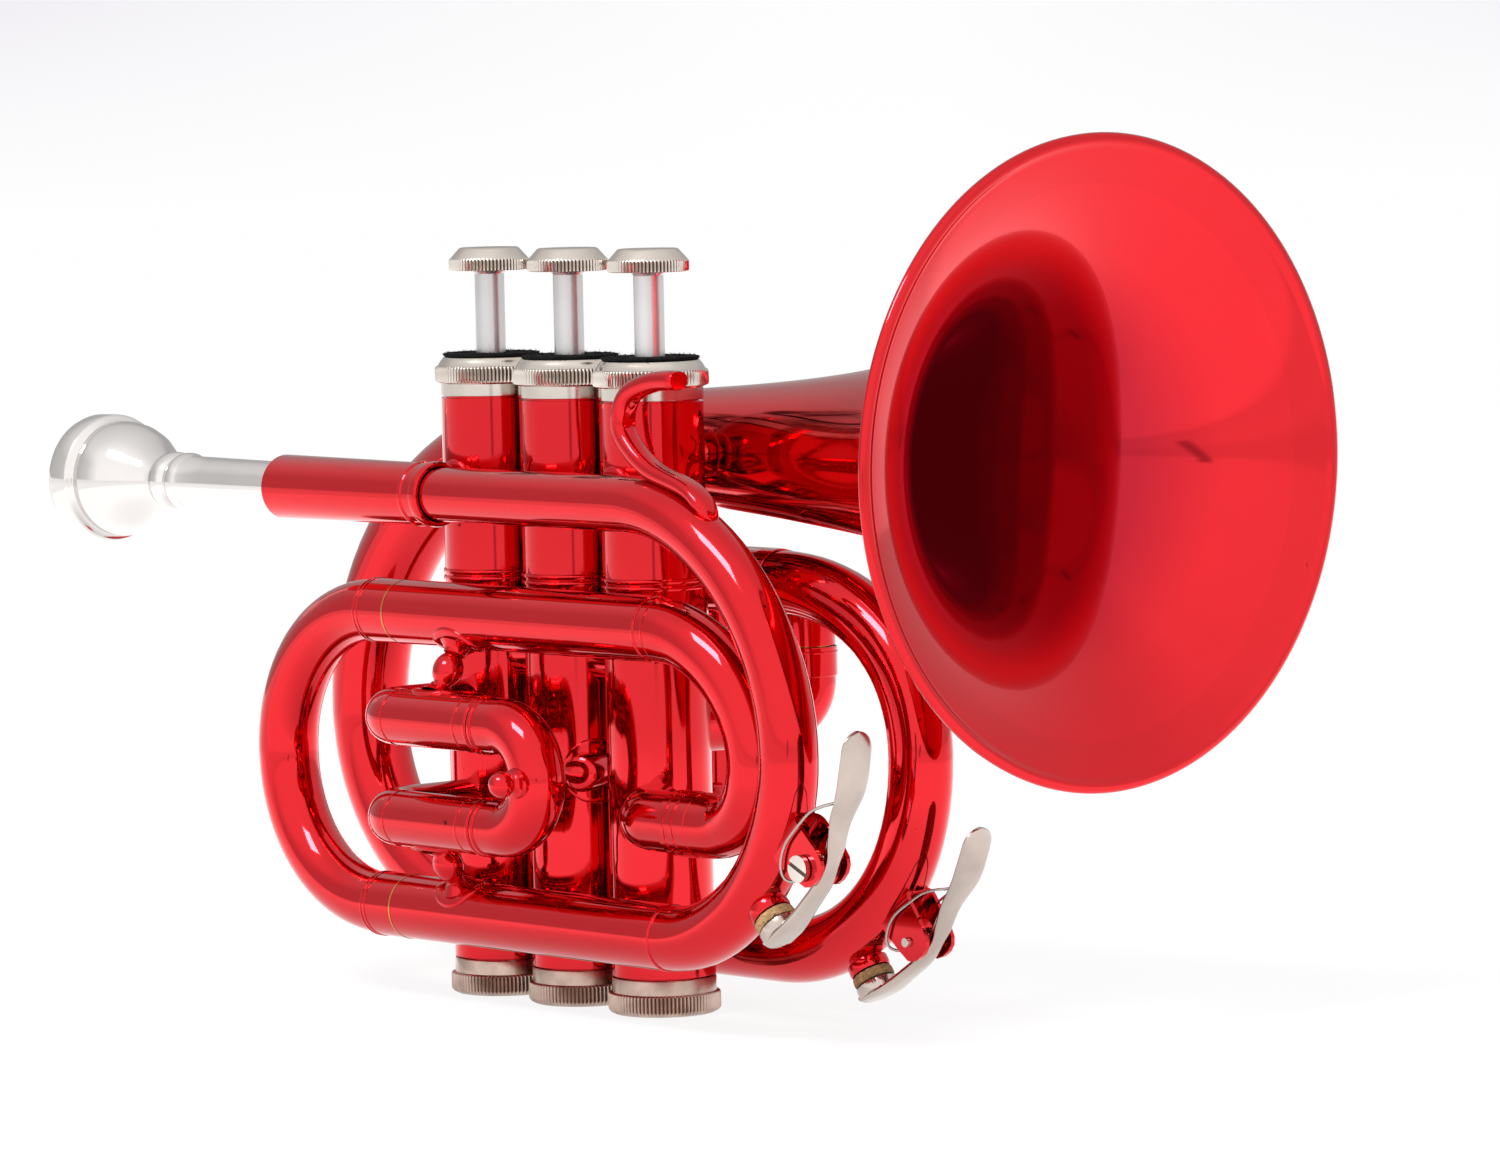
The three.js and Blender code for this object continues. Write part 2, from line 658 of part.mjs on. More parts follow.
// Main tuning slide: two sleeves, and a crook whose legs run in them
const legRadius = sleeveRadius - tubeWall - fit;
const sleeveEnds = [[sleeveUpperZ, upperSleeveEnd], [sleeveLowerZ, outerBendBottomX]];
sleeveEnds.forEach(([z, end], i) => {
  const outline = pipeOutline(sleeveStart + fit / 2, end - fit, sleeveRadius, sleeveRadius - tubeWall,
    [end - fit - beadWidth]);
  add(`tuning_sleeve_${i ? "lower" : "upper"}`, revolveX(outline, tubeSides, slideY, z), red);
});

function tuningCrook() {
  const ferruleEnd = sleeveStart - fit / 2;
  const crookX = ferruleEnd - crookFerrule;
  const bow = bowPath(point(crookX, slideY, sleeveUpperZ), point(crookApexX, slideY, crookApexZ),
    point(crookX, slideY, sleeveLowerZ), crookHandleShares);
  const legBore = legRadius - tubeWall;
  const legs = [sleeveUpperZ, sleeveLowerZ].map((z) => revolveX([
    [sleeveRadius, crookX - fit], [sleeveRadius, ferruleEnd], [legRadius, ferruleEnd],
    [legRadius, sleeveStart + tuningLegLength], [legBore, sleeveStart + tuningLegLength], [legBore, crookX - fit],
  ], tubeSides, slideY, z));
  return join(tube(bow, crookRadius, legBore, 3 * bendSteps), ...legs);
}

add("tuning_slide", tuningCrook(), red);

// Inner bow and the third valve's inlet
const innerBow = bowPath(point(upperSleeveEnd, slideY, sleeveUpperZ),
  point(innerBowApexX, innerBowApexY, innerBowApexZ), point(innerBowBottomX, inletY, inletZ), innerBowHandleShares);
const innerBowPath = joined(innerBow,
  new THREE.LineCurve3(point(innerBowBottomX, inletY, inletZ), point(inletFerruleEnd + fit, inletY, inletZ)));
add("inner_bow", tube(innerBowPath, innerBowRadius, innerBowRadius - tubeWall, 2 * bendSteps), red);

function inletKnuckle() {
  const corners = [point(inletFerruleEnd, inletY, inletZ), point(inletX, inletY, inletZ),
    point(valvePitch, 0, inletZ)];
  const path = route(corners, inletBend);
  const bore = innerBowRadius - tubeWall;
  const ferrule = revolveX(pipeOutline(inletFerruleEnd - inletFerruleLength, inletFerruleEnd,
    innerBowRadius + beadHeight, bore), tubeSides, inletY, inletZ);
  return cut(join(tube(path, innerBowRadius, bore, 2 * bendSteps), ferrule), casingColumn(valvePitch));
}

add("inlet_knuckle", inletKnuckle(), red);

// Outlet: knuckle and return tube, right bow with the bottom tube, bell bow and bell
const outletCorners = [point(-valvePitch, 0, outletZ), point(-valvePitch, outletY, outletZ),
  point(rightBowTopX - fit, outletY, outletZ)];
const outletTube = tube(route(outletCorners, outletBend), outletRadius, outletRadius - tubeWall, 3 * bendSteps);
add("outlet_tube", cut(outletTube, casingColumn(-valvePitch, casingRadius + beadHeight)), red);

const rightBow = bowPath(point(rightBowTopX, outletY, outletZ), point(rightBowApexX, outletY, rightBowApexZ),
  point(rightBowBottomX, outletY, bottomTubeZ), rightBowHandleShares);
const rightBowPath = joined(rightBow, new THREE.LineCurve3(point(rightBowBottomX, outletY, bottomTubeZ),
  point(bellBowBottomX + fit, outletY, bottomTubeZ)));
const rightBowGrowth = bottomTubeRadius / outletRadius;
add("right_bow", tube(rightBowPath, outletRadius, outletRadius - tubeWall, 4 * bendSteps, rightBowGrowth), red);
const rightBowCutter = tube(rightBowPath, outletRadius + fit, 0, 4 * bendSteps, rightBowGrowth);

const bellBow = bowPath(point(bellBowTopX, bellY, bellZ), point(bellBowApexX, (bellY + outletY) / 2, bellBowApexZ),
  point(bellBowBottomX, outletY, bottomTubeZ), bellBowHandleShares);
const bellBowShrink = bellBowStartRadius / bellBowEndRadius;
add("bell_bow", tube(bellBow, bellBowEndRadius, bellBowEndRadius - tubeWall, 3 * bendSteps, bellBowShrink,
  tubeSides), red);

const bellLength = bellMouthX - bellBowTopX - fit;
const flarePower = Math.log(bellMouthRadius / bellTailRadius) / Math.log((bellLength + bellFlareOffset) / bellFlareOffset);

// The flare follows a power law, and a swell just inside the mouth fills it out
function bellRadiusAt(distance) {
  const flare = bellMouthRadius * ((distance + bellFlareOffset) / bellFlareOffset) ** -flarePower;
  const depth = distance / bellSwellDepth;
  return flare + bellSwell * depth * Math.exp(1 - depth);
}

function bell() {
  const stations = bellStationShares.map((share) => share * bellLength);
  const outside = stations.map((d) => [bellRadiusAt(d), bellMouthX - d]);
  const inside = stations.toReversed().map((d) => [bellRadiusAt(d) - tubeWall, bellMouthX - d]);
  const rim = [[bellMouthRadius - bellBead, bellMouthX], [bellMouthRadius, bellMouthX - bellBead / 2],
    [bellMouthRadius, bellMouthX - 2 * bellBead], [bellMouthRadius - bellBead, bellMouthX - 2 * bellBead]];
  return revolveX([...rim, ...outside, ...inside], bellSides, bellY, bellZ);
}

const bellCutter = revolveX([[0, bellBowTopX], ...bellStationShares.toReversed().map((share) =>
  [bellRadiusAt(share * bellLength) + fit, bellMouthX - share * bellLength]), [0, bellMouthX]],
bellSides, bellY, bellZ);
add("bell", bell(), red);

// Valve slides: fixed sleeves from the casing, and a crook whose legs run in them
function sleeveTube(corners, bend, radius, steps, column) {
  return cut(tube(route(corners, bend), radius, radius - tubeWall, steps, 1, tubeSides), column);
}

function slideCrook(corners, bend, radius, legs) {
  const inner = radius - tubeWall - fit;
  const bow = tube(route(corners, bend), radius, inner - tubeWall, 2 * bendSteps);
  const tubes = legs.map(([from, to]) => tube(new THREE.LineCurve3(from, to), inner, inner - tubeWall, 1));
  return join(bow, ...tubes);
}

const firstColumn = casingColumn(-valvePitch);
[["upper", firstUpperZ], ["lower", firstLowerZ]].forEach(([label, z]) => {
  const corners = [point(-valvePitch, 0, z), point(-valvePitch, firstSlideY, z), point(firstSleeveEnd, firstSlideY, z)];
  const sleeve = sleeveTube(corners, slideElbow, slideTubeRadius, 2 * bendSteps, firstColumn);
  const bead = revolveX(pipeOutline(firstBeadX, firstSleeveEnd, slideTubeRadius + beadHeight,
    slideTubeRadius - tubeWall / 2), tubeSides, firstSlideY, z);
  add(`first_slide_sleeve_${label}`, join(sleeve, bead), red);
});

function firstCrook() {
  const start = firstSleeveEnd + fit;
  const bend = (firstUpperZ - firstLowerZ) / 2;
  const apexX = start + firstCrookStraight + bend;
  const middle = (firstUpperZ + firstLowerZ) / 2;
  const corners = [point(start, firstSlideY, firstUpperZ), point(apexX, firstSlideY, firstUpperZ),
    point(apexX, firstSlideY, firstLowerZ), point(start, firstSlideY, firstLowerZ)];
  const legs = [firstUpperZ, firstLowerZ].map((z) =>
    [point(start + fit, firstSlideY, z), point(firstSleeveEnd - firstLegLength, firstSlideY, z)]);
  const seat = firstSlideY - slideTubeRadius;
  const ball = firstSlideY - knobReach;
  const knob = [
    rod(point(apexX, seat + tubeWall, middle), point(apexX, ball, middle), knobPost, smallSides),
    rod(point(apexX, seat + tubeWall / 2, middle), point(apexX, seat - tubeWall, middle), knobCollar, smallSides),
    new THREE.SphereGeometry(knobBall, smallSides, smallSides / 2).translate(apexX, ball, middle),
  ];
  return join(slideCrook(corners, bend, slideTubeRadius, legs), ...knob);
}

add("first_slide", firstCrook(), red);

const secondColumn = casingColumn(0);
[["upper", secondUpperZ], ["lower", secondLowerZ]].forEach(([label, z]) => {
  const outline = pipeOutline(0, secondSleeveEnd, secondTubeRadius, secondTubeRadius - tubeWall,
    [secondSleeveEnd - beadWidth]);
  const sleeve = revolve(outline, tubeSides).rotateY(Math.PI / 2).rotateZ(secondHeading).translate(0, 0, z);
  add(`second_slide_sleeve_${label}`, cut(sleeve, secondColumn), red);
});

function secondCrook() {
  const start = secondSleeveEnd + fit;
  const bend = (secondUpperZ - secondLowerZ) / 2;
  const apex = start + secondCrookStraight + bend;
  const at = (distance, z) => polar(secondHeading, distance, z);
  const corners = [at(start, secondUpperZ), at(apex, secondUpperZ), at(apex, secondLowerZ), at(start, secondLowerZ)];
  const legs = [secondUpperZ, secondLowerZ].map((z) => [at(start + fit, z), at(secondSleeveEnd - secondLegLength, z)]);
  return slideCrook(corners, bend, secondTubeRadius, legs);
}

add("second_slide", secondCrook(), red);

const thirdColumn = casingColumn(valvePitch);
const thirdLegs = [["front", thirdFrontX, thirdFrontZ, thirdFrontLeg], ["rear", thirdRearX, thirdRearZ, thirdRearLeg]];
thirdLegs.forEach(([label, x, z]) => {
  const corners = [point(valvePitch, 0, z), point(x, thirdSlideY, z), point(x, thirdSlideY, thirdSleeveEnd)];
  const sleeve = sleeveTube(corners, thirdElbow, thirdTubeRadius, 2 * bendSteps, thirdColumn);
  const bead = revolve(pipeOutline(thirdSleeveEnd - thirdFrontLeg, thirdSleeveEnd, thirdTubeRadius + beadHeight,
    thirdTubeRadius - tubeWall / 2), tubeSides).translate(x, thirdSlideY, 0);
  add(`third_slide_sleeve_${label}`, join(sleeve, bead), red);
});

function thirdCrook() {
  const start = thirdSleeveEnd + fit;
  const corners = [point(thirdFrontX, thirdSlideY, start), point(thirdFrontX, thirdSlideY, thirdCrookTopZ),
    point(thirdRearX, thirdSlideY, thirdCrookTopZ), point(thirdRearX, thirdSlideY, start)];
  const legs = thirdLegs.map(([, x, , length]) =>
    [point(x, thirdSlideY, start + fit), point(x, thirdSlideY, thirdSleeveEnd - length)]);
  return slideCrook(corners, thirdCrookBend, thirdTubeRadius, legs);
}

add("third_slide", thirdCrook(), red);

// Braces
const leadBodyAt = (x, radius) => ({ centre: point(x, leadY, leadZ), axis: alongX, radius });
const casingBodyAt = (x, z) => ({ centre: point(x, 0, z), axis: alongZ, radius: casingRadius });
const receiverBrace = brace([leadBodyAt(-valvePitch, receiverEndRadius - 2 * fit),
  casingBodyAt(-valvePitch, leadZ)], postRadius);
add("leadpipe_receiver", join(receiver(), receiverBrace), red);
add("leadpipe_brace", brace([leadBodyAt(valvePitch, leadpipeRadius + tubeWall / 2),
  casingBodyAt(valvePitch, leadZ)], postRadius), red);
[1, 3].forEach((number) => {
  const x = valveX[number - 1];
  const radius = bellRadiusAt(bellMouthX - x) + tubeWall / 2;
  const bellBody = { centre: point(x, bellY, bellZ), axis: alongX, radius };
  add(`bell_brace_${number}`, cut(brace([bellBody, casingBodyAt(x, bellZ)], postRadius), bellCutter), red);
});
[["upper", upperBraceX, firstUpperZ, sleeveUpperZ], ["lower", lowerBraceX, firstLowerZ, sleeveLowerZ]]
  .forEach(([label, x, legZ, sleeveZ]) => {
    add(`slide_brace_${label}`, brace([
      { centre: point(x, firstSlideY, legZ), axis: alongX, radius: slideTubeRadius },
      { centre: point(x, slideY, sleeveZ), axis: alongX, radius: sleeveRadius },
    ], braceBall), red);
  });

// Finger hook
function fingerHook() {
  const points = hookShares.map(([along, up]) =>
    point(hookX + along * hookLength, leadY, hookZ + up * hookHeight));
  const section = new THREE.Shape(circle(1, smallSides).map((corner) =>
    new THREE.Vector2(corner.x * hookWidth, corner.y * hookThickness)));
  const path = new THREE.CatmullRomCurve3(points);
  const bar = new THREE.ExtrudeGeometry(section, { steps: 3 * bendSteps, bevelEnabled: false, extrudePath: path });
  return cut(bar, leadpipeCutter);
}

add("finger_hook", fingerHook(), red);

// Water keys, in a frame with X out of the tube, Z along it and Y across
function keyPlate(outline, thickness, y) {
  const shape = new THREE.Shape(outline.map(([out, along]) => new THREE.Vector2(out, along)));
  return new THREE.ExtrudeGeometry(shape, { depth: thickness, bevelEnabled: false })
    .rotateX(Math.PI / 2).translate(0, y + thickness / 2, 0);
}

const across = (out, along, half, radius, sides = tubeSides) =>
  rod(point(out, -half, along), point(out, half, along), radius, sides);

function leverArm() {
  const spine = new THREE.SplineCurve(leverPathShares.map(([out, along]) =>
    new THREE.Vector2(out * leverRise, along * leverReach))).getSpacedPoints(3 * bendSteps);
  const side = spine.map(({ x, y }, i) => {
    const ahead = spine[Math.min(i + 1, spine.length - 1)].clone().sub(spine[Math.max(i - 1, 0)]).normalize();
    return [[x + ahead.y * leverThickness / 2, y - ahead.x * leverThickness / 2],
      [x - ahead.y * leverThickness / 2, y + ahead.x * leverThickness / 2]];
  });
  const profile = [...side.map((pair) => pair[0]), ...side.toReversed().map((pair) => pair[1])];
  const half = leafOutlineShares.map(([along, wide]) => new THREE.Vector2(wide * leafWidth, along * leverReach));
  const mirror = half.toReversed().map(({ x, y }) => new THREE.Vector2(-x, y));
  const plan = new THREE.ExtrudeGeometry(new THREE.Shape([...half, ...mirror]),
    { depth: 2 * leverReach, bevelEnabled: false })
    .rotateX(Math.PI / 2).rotateZ(Math.PI / 2).translate(-leverReach, 0, 0);
  return common(keyPlate(profile, 2 * leafWidth + overrun, 0), plan);
}

function waterKey(name, frame, side, tubeCutter) {
  const place = (geometry) => geometry.applyMatrix4(frame);
  const clearTube = (geometry) => cut(place(geometry), tubeCutter);
  const earOut = pivotOut + earRadius;
  const bore = across(pivotOut, pivotAlong, earGap + 2 * earThickness, pivotRadius + fit, smallSides);

  // Nipple, a short drilled tube out of the bow, and the saddle's two ears on their foot
  const nipple = rod(point(-earFoot, 0, 0), point(nippleReach, 0, 0), nippleRadius);
  const drill = rod(point(-earFoot, 0, 0), point(nippleReach + overrun, 0, 0), nippleBore, smallSides);
  add(`${name}_nipple`, clearTube(cut(nipple, drill)), red);
  const ears = [-1, 1].map((hand) => {
    const y = hand * (earGap + earThickness / 2);
    const end = rod(point(pivotOut, y - earThickness / 2, pivotAlong),
      point(pivotOut, y + earThickness / 2, pivotAlong), earRadius);
    const stem = new THREE.BoxGeometry(pivotOut + earFoot, earThickness, 2 * earRadius)
      .translate((pivotOut - earFoot) / 2, y, pivotAlong);
    return join(end, stem);
  });
  const foot = new THREE.BoxGeometry(2 * earFoot, 2 * (earGap + earThickness), 2 * earRadius)
    .translate(-earRadius / 2, 0, pivotAlong);
  add(`${name}_saddle`, clearTube(cut(join(foot, ...ears), bore)), red);

  // Screw through the ears, with its head on one side
  const headFace = side * (earGap + earThickness + fit);
  const headEnd = headFace + side * screwHeadHeight;
  const shank = rod(point(pivotOut, headFace, pivotAlong),
    point(pivotOut, -side * (earGap + earThickness), pivotAlong), pivotRadius, smallSides);
  const head = rod(point(pivotOut, headFace, pivotAlong), point(pivotOut, headEnd, pivotAlong), screwHeadRadius);
  const slot = new THREE.BoxGeometry(screwSlot, screwSlot, 3 * screwHeadRadius)
    .translate(pivotOut, headEnd, pivotAlong);
  add(`${name}_screw`, place(cut(join(shank, head), slot)), nickel);

  // Lever: arm and leaf, a lug down to the barrel on the screw, and the cork's cup
  const lugTop = leverRise - leverThickness / 2;
  const lug = keyPlate([[pivotOut, pivotAlong - barrelRadius], [lugTop, pivotAlong - barrelRadius],
    [lugTop, pivotAlong + barrelRadius], [pivotOut, pivotAlong + barrelRadius]], lugThickness,
  side * (earGap - fit - lugThickness / 2));
  const coilStart = -side * (earGap - fit - keySpringWire);
  const coilEnd = coilStart + side * keySpringPitch * keySpringCurls;
  const barrel = rod(point(pivotOut, side * (earGap - fit), pivotAlong),
    point(pivotOut, coilEnd + side * (keySpringWire + fit), pivotAlong), barrelRadius);
  const corkStart = nippleReach + fit;
  const cupStart = corkStart + corkThickness + fit;
  const cup = rod(point(cupStart, 0, 0), point(cupStart + cupThickness, 0, 0), cupRadius);
  add(`${name}_lever`, place(cut(join(leverArm(), lug, barrel, cup), bore)), nickel);
  add(`${name}_cork`, place(rod(point(corkStart, 0, 0), point(corkStart + corkThickness, 0, 0), corkRadius)), cork);

  // Torsion spring round the barrel, with one arm under the lever and one on the saddle's side
  const turns = helix(keySpringRadius, coilStart, coilEnd, keySpringCurls).map(({ x, y, z }) =>
    point(pivotOut + x, z, pivotAlong + y));
  const arms = [turns[0].clone().add(point(-keySpringDrop, 0, -keySpringArm)),
    turns.at(-1).clone().add(point(-keySpringDrop, 0, keySpringArm))];
  const wirePoints = [arms[0], ...turns, arms[1]];
  console.log(`${name} spring, least gap between curls:`, leastGap(turns, keySpringWire).toFixed(2), "mm");
  add(`${name}_spring`, place(wire(wirePoints, keySpringWire)), steel);
}

function keyFrame(x, y, z, tilt) {
  const out = point(Math.cos(tilt), 0, Math.sin(tilt));
  const along = point(-Math.sin(tilt), 0, Math.cos(tilt));
  return new THREE.Matrix4().makeBasis(out, point(0, 1, 0), along).setPosition(x, y, z);
}

waterKey("water_key_1", keyFrame(keyX, keyY, keyZ, keyTilt), -1, leadpipeCutter);
waterKey("water_key_2", keyFrame(farKeyX, outletY, farKeyZ, farKeyTilt), 1, rightBowCutter);

export default trumpet;
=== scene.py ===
"""Pocket trumpet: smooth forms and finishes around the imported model. Forms are in mm, objects in metres."""

import json
import math
import random

import bpy
import bmesh
from mathutils import Matrix, Vector, noise


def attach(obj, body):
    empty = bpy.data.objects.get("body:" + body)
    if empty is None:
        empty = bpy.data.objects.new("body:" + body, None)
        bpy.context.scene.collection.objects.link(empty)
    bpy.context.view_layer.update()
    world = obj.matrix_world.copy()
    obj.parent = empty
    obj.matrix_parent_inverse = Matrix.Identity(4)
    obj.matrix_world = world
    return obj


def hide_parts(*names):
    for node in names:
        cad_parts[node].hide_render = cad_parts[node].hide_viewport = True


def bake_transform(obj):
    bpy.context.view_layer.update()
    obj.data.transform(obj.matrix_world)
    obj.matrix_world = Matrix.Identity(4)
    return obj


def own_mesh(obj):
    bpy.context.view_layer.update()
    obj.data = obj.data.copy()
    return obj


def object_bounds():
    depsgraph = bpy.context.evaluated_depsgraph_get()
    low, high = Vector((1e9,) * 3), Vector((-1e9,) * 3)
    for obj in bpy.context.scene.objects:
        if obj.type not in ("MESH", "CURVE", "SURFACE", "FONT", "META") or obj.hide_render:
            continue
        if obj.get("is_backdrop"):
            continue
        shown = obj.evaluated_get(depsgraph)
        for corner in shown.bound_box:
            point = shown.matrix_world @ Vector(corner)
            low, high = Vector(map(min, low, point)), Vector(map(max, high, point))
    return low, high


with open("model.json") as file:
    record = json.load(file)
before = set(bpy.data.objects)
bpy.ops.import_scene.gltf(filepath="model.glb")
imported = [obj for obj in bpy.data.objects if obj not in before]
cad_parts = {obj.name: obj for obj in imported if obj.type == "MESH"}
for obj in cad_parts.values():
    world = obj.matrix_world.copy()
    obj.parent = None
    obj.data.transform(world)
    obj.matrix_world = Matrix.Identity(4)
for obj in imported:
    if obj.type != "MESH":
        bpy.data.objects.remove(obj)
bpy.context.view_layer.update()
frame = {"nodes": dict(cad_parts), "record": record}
MM = 0.001
scene = bpy.context.scene

# Sizes that repeat the solids', in millimetres
FIT, WALL = 0.3, 0.6
VALVES = (-25.0, 0.0, 25.0)
CASING_R, CASING_BORE = 10.4, 8.7
SEAT = 9.4  # within a casing's wall, where the tubes on it end
LEAD_Y, LEAD_Z, LEAD_R, RECEIVER_R = -21.8, 103.2, 5.6, 6.2
SLIDE_Y, SLEEVE_TOP_Z, SLEEVE_LOW_Z = -20.0, 78.85, 18.69
SLEEVE_START, SLEEVE_UPPER_END, SLEEVE_LOWER_END, SLEEVE_R = -29.6, 49.2, 51.5, 6.53
INLET_Y, INLET_Z, INLET_END, INLET_R = -16.0, 40.8, 57.9, 6.1
OUTLET_Y, OUTLET_Z, OUTLET_END, OUTLET_R = 22.0, 84.87, 38.39, 6.38
LOW_TUBE_Z, LOW_TUBE_R = 11.06, 6.66
BELL_Y, BELL_Z, BELL_MOUTH_X, BELL_R = 26.0, 110.9, 128.2, 62.6
BELL_TAIL_X, BELL_TAIL_R, BELL_OFFSET = -35.14, 9.9, 9.0
BELL_SWELL, BELL_SWELL_DEPTH = 4.0, 11.0
FIRST_Y, FIRST_HIGH, FIRST_LOW, FIRST_END, FIRST_R = -31.0, 58.8, 38.5, 9.2, 5.6
SECOND_HEADING, SECOND_LEVELS, SECOND_R = 2.178, (66, 52), 5.2
THIRD_Y, THIRD_FRONT_X, THIRD_REAR_X, THIRD_END, THIRD_TOP, THIRD_R = 37.0, 27.5, -3.4, 70.6, 83.8, 6.3

# Detail that only this script has
TOOTH_SIDES = 6
GROOVE = 0.2  # least depth of the knurling that counts as a groove
RIDGE_HALF, RIDGE_RISE = 0.24, 0.14  # the fine rings on the tubes
EDGE = 0.15  # how far the ends of the tubes are softened


def vec(x, y, z):
    return Vector((x, y, z))


def turned(radius, angle, height=0.0):
    """The point at a radius and an angle about Z."""
    return vec(radius * math.cos(angle), radius * math.sin(angle), height)


def lerp(a, b, t):
    return a + (b - a) * t


# Forms
class Form:
    """Points in millimetres and faces, gathered into one mesh."""

    def __init__(self):
        self.points, self.faces, self.slots = [], [], []

    def add(self, shape, matrix=None, slot=0):
        points, faces = shape
        start = len(self.points)
        self.points += [matrix @ p if matrix else p for p in points]
        self.faces += [tuple(i + start for i in face) for face in faces]
        self.slots += [slot] * len(faces)
        return self


def stack(rings, loop=False):
    """A skin over rings of points, closed on itself or by a face at each end."""
    sides, count = len(rings[0]), len(rings)
    faces = []
    for i in range(count if loop else count - 1):
        a, b = i * sides, (i + 1) % count * sides
        faces += [(a + j, a + (j + 1) % sides, b + (j + 1) % sides, b + j) for j in range(sides)]
    if not loop:
        faces += [tuple(range(sides))[::-1], tuple(range((count - 1) * sides, count * sides))]
    return [p for ring in rings for p in ring], faces


def lathe(outline, sides=72, loop=False, teeth=0):
    """An outline of (radius, height) turned about Z. A third number is the depth of the knurling there."""
    count = teeth * TOOTH_SIDES if teeth else sides
    rings = []
    for radius, height, *depth in outline:
        ring = []
        for i in range(count):
            angle = 2 * math.pi * i / count
            dip = depth[0] * (0.5 + 0.5 * math.cos(teeth * angle)) if depth else 0
            ring.append(turned(radius - dip, angle, height))
        rings.append(ring)
    return stack(rings, loop)


def knurled(form, outline, teeth, matrix):
    """A lathe with ribs, whose grooves take the second material, the painted shade of the grooves."""
    points, faces = lathe(outline, loop=True, teeth=teeth)
    start, count = len(form.slots), teeth * TOOTH_SIDES
    form.add((points, faces), matrix)
    ribbed = [len(row) > 2 and row[2] > GROOVE for row in outline]
    for i, face in enumerate(faces):
        row, spot = divmod(min(face), count)
        if ribbed[row] and ribbed[(row + 1) % len(outline)] and spot % TOOTH_SIDES in (0, TOOTH_SIDES - 1):
            form.slots[start + i] = 1
    return form


def along_x(y, z):
    """A frame whose Z runs along the part's X."""
    return Matrix.Translation((0, y, z)) @ Matrix.Rotation(math.pi / 2, 4, "Y")


def bezier(a, b, c, d, steps=22):
    """Points of a cubic curve."""
    points = []
    for i in range(steps + 1):
        t = i / steps
        s = 1 - t
        points.append(a * s**3 + b * 3 * s * s * t + c * 3 * s * t * t + d * t**3)
    return points


def bow(top, apex, bottom, shares):
    """Two quarter bends from an end along X over an apex to an end along X."""
    a, b, c, d = shares
    first = bezier(top, vec(lerp(top.x, apex.x, a), top.y, top.z),
                   vec(apex.x, apex.y, lerp(apex.z, top.z, b)), apex)
    second = bezier(apex, vec(apex.x, apex.y, lerp(apex.z, bottom.z, c)),
                    vec(lerp(bottom.x, apex.x, d), bottom.y, bottom.z), bottom)
    return first + second[1:]


def route(corners, bend, steps=12):
    """A straight run through corners rounded to one bend radius."""
    points = [corners[0]]
    for before, corner, after in zip(corners, corners[1:], corners[2:]):
        u, v = (before - corner).normalized(), (after - corner).normalized()
        turn = math.pi - u.angle(v)
        reach = bend * math.tan(turn / 2)
        handle = reach - 4 / 3 * math.tan(turn / 4) * bend
        points += bezier(corner + u * reach, corner + u * handle, corner + v * handle, corner + v * reach,
                         steps)
    return points + [corners[-1]]


def frames(path):
    """Point, tangent and two carried normals at each point of a path."""
    tangents = [(path[min(i + 1, len(path) - 1)] - path[max(i - 1, 0)]).normalized()
                for i in range(len(path))]
    side = tangents[0].orthogonal().normalized()
    made = []
    for point, tangent in zip(path, tangents):
        side = (side - tangent * side.dot(tangent)).normalized()
        made.append((point, tangent, side, tangent.cross(side)))
    return made


def shares_along(path):
    """How far along its path each point lies, from 0 to 1."""
    total, run = 0.0, [0.0]
    for a, b in zip(path, path[1:]):
        total += (b - a).length
        run.append(total)
    return [r / total for r in run]


def sweep(path, radius, wall=WALL, sides=36, seat=0):
    """A tube along a path, whose radius is a number or goes with the share of the length.

    No wall leaves it solid. A seat is the radius of the upright body on which the start of the tube sits."""
    path = [p for i, p in enumerate(path) if not i or (p - path[i - 1]).length > 1e-4]
    size = radius if callable(radius) else lambda share: radius
    spine = list(zip(frames(path), shares_along(path)))

    def rings(less):
        made = [[point + (a * math.cos(t) + b * math.sin(t)) * (size(share) - less)
                 for t in (2 * math.pi * i / sides for i in range(sides))]
                for (point, _, a, b), share in spine]
        if seat:
            start, away = spine[0][0][:2]
            aside = [(p - start).xy.length for p in made[0]]
            made[0] = [p - away * (seat - math.sqrt(seat * seat - w * w)) for p, w in zip(made[0], aside)]
        return made

    if not wall:
        return stack(rings(0))
    return stack(rings(0) + rings(wall)[::-1], True)


def ribbon(path, half_widths, half_depths, power, corners=24):
    """A bar along a path, with a rounded flat section whose width lies along Y."""
    across, rings = vec(0, 1, 0), []
    for (point, tangent, _, _), width, depth in zip(frames(path), half_widths, half_depths):
        side = (across - tangent * across.dot(tangent)).normalized()
        up = tangent.cross(side)
        ring = []
        for i in range(corners):
            t = 2 * math.pi * i / corners
            c, s = math.cos(t), math.sin(t)
            ring.append(point + side * (math.copysign(abs(c) ** (2 / power), c) * width)
                        + up * (math.copysign(abs(s) ** (2 / power), s) * depth))
        rings.append(ring)
    return stack(rings)


def plate(outline, thickness):
    """A flat outline in XY, raised along Z about the middle."""
    return stack([[vec(x, y, -thickness / 2) for x, y in outline],
                  [vec(x, y, thickness / 2) for x, y in outline]])


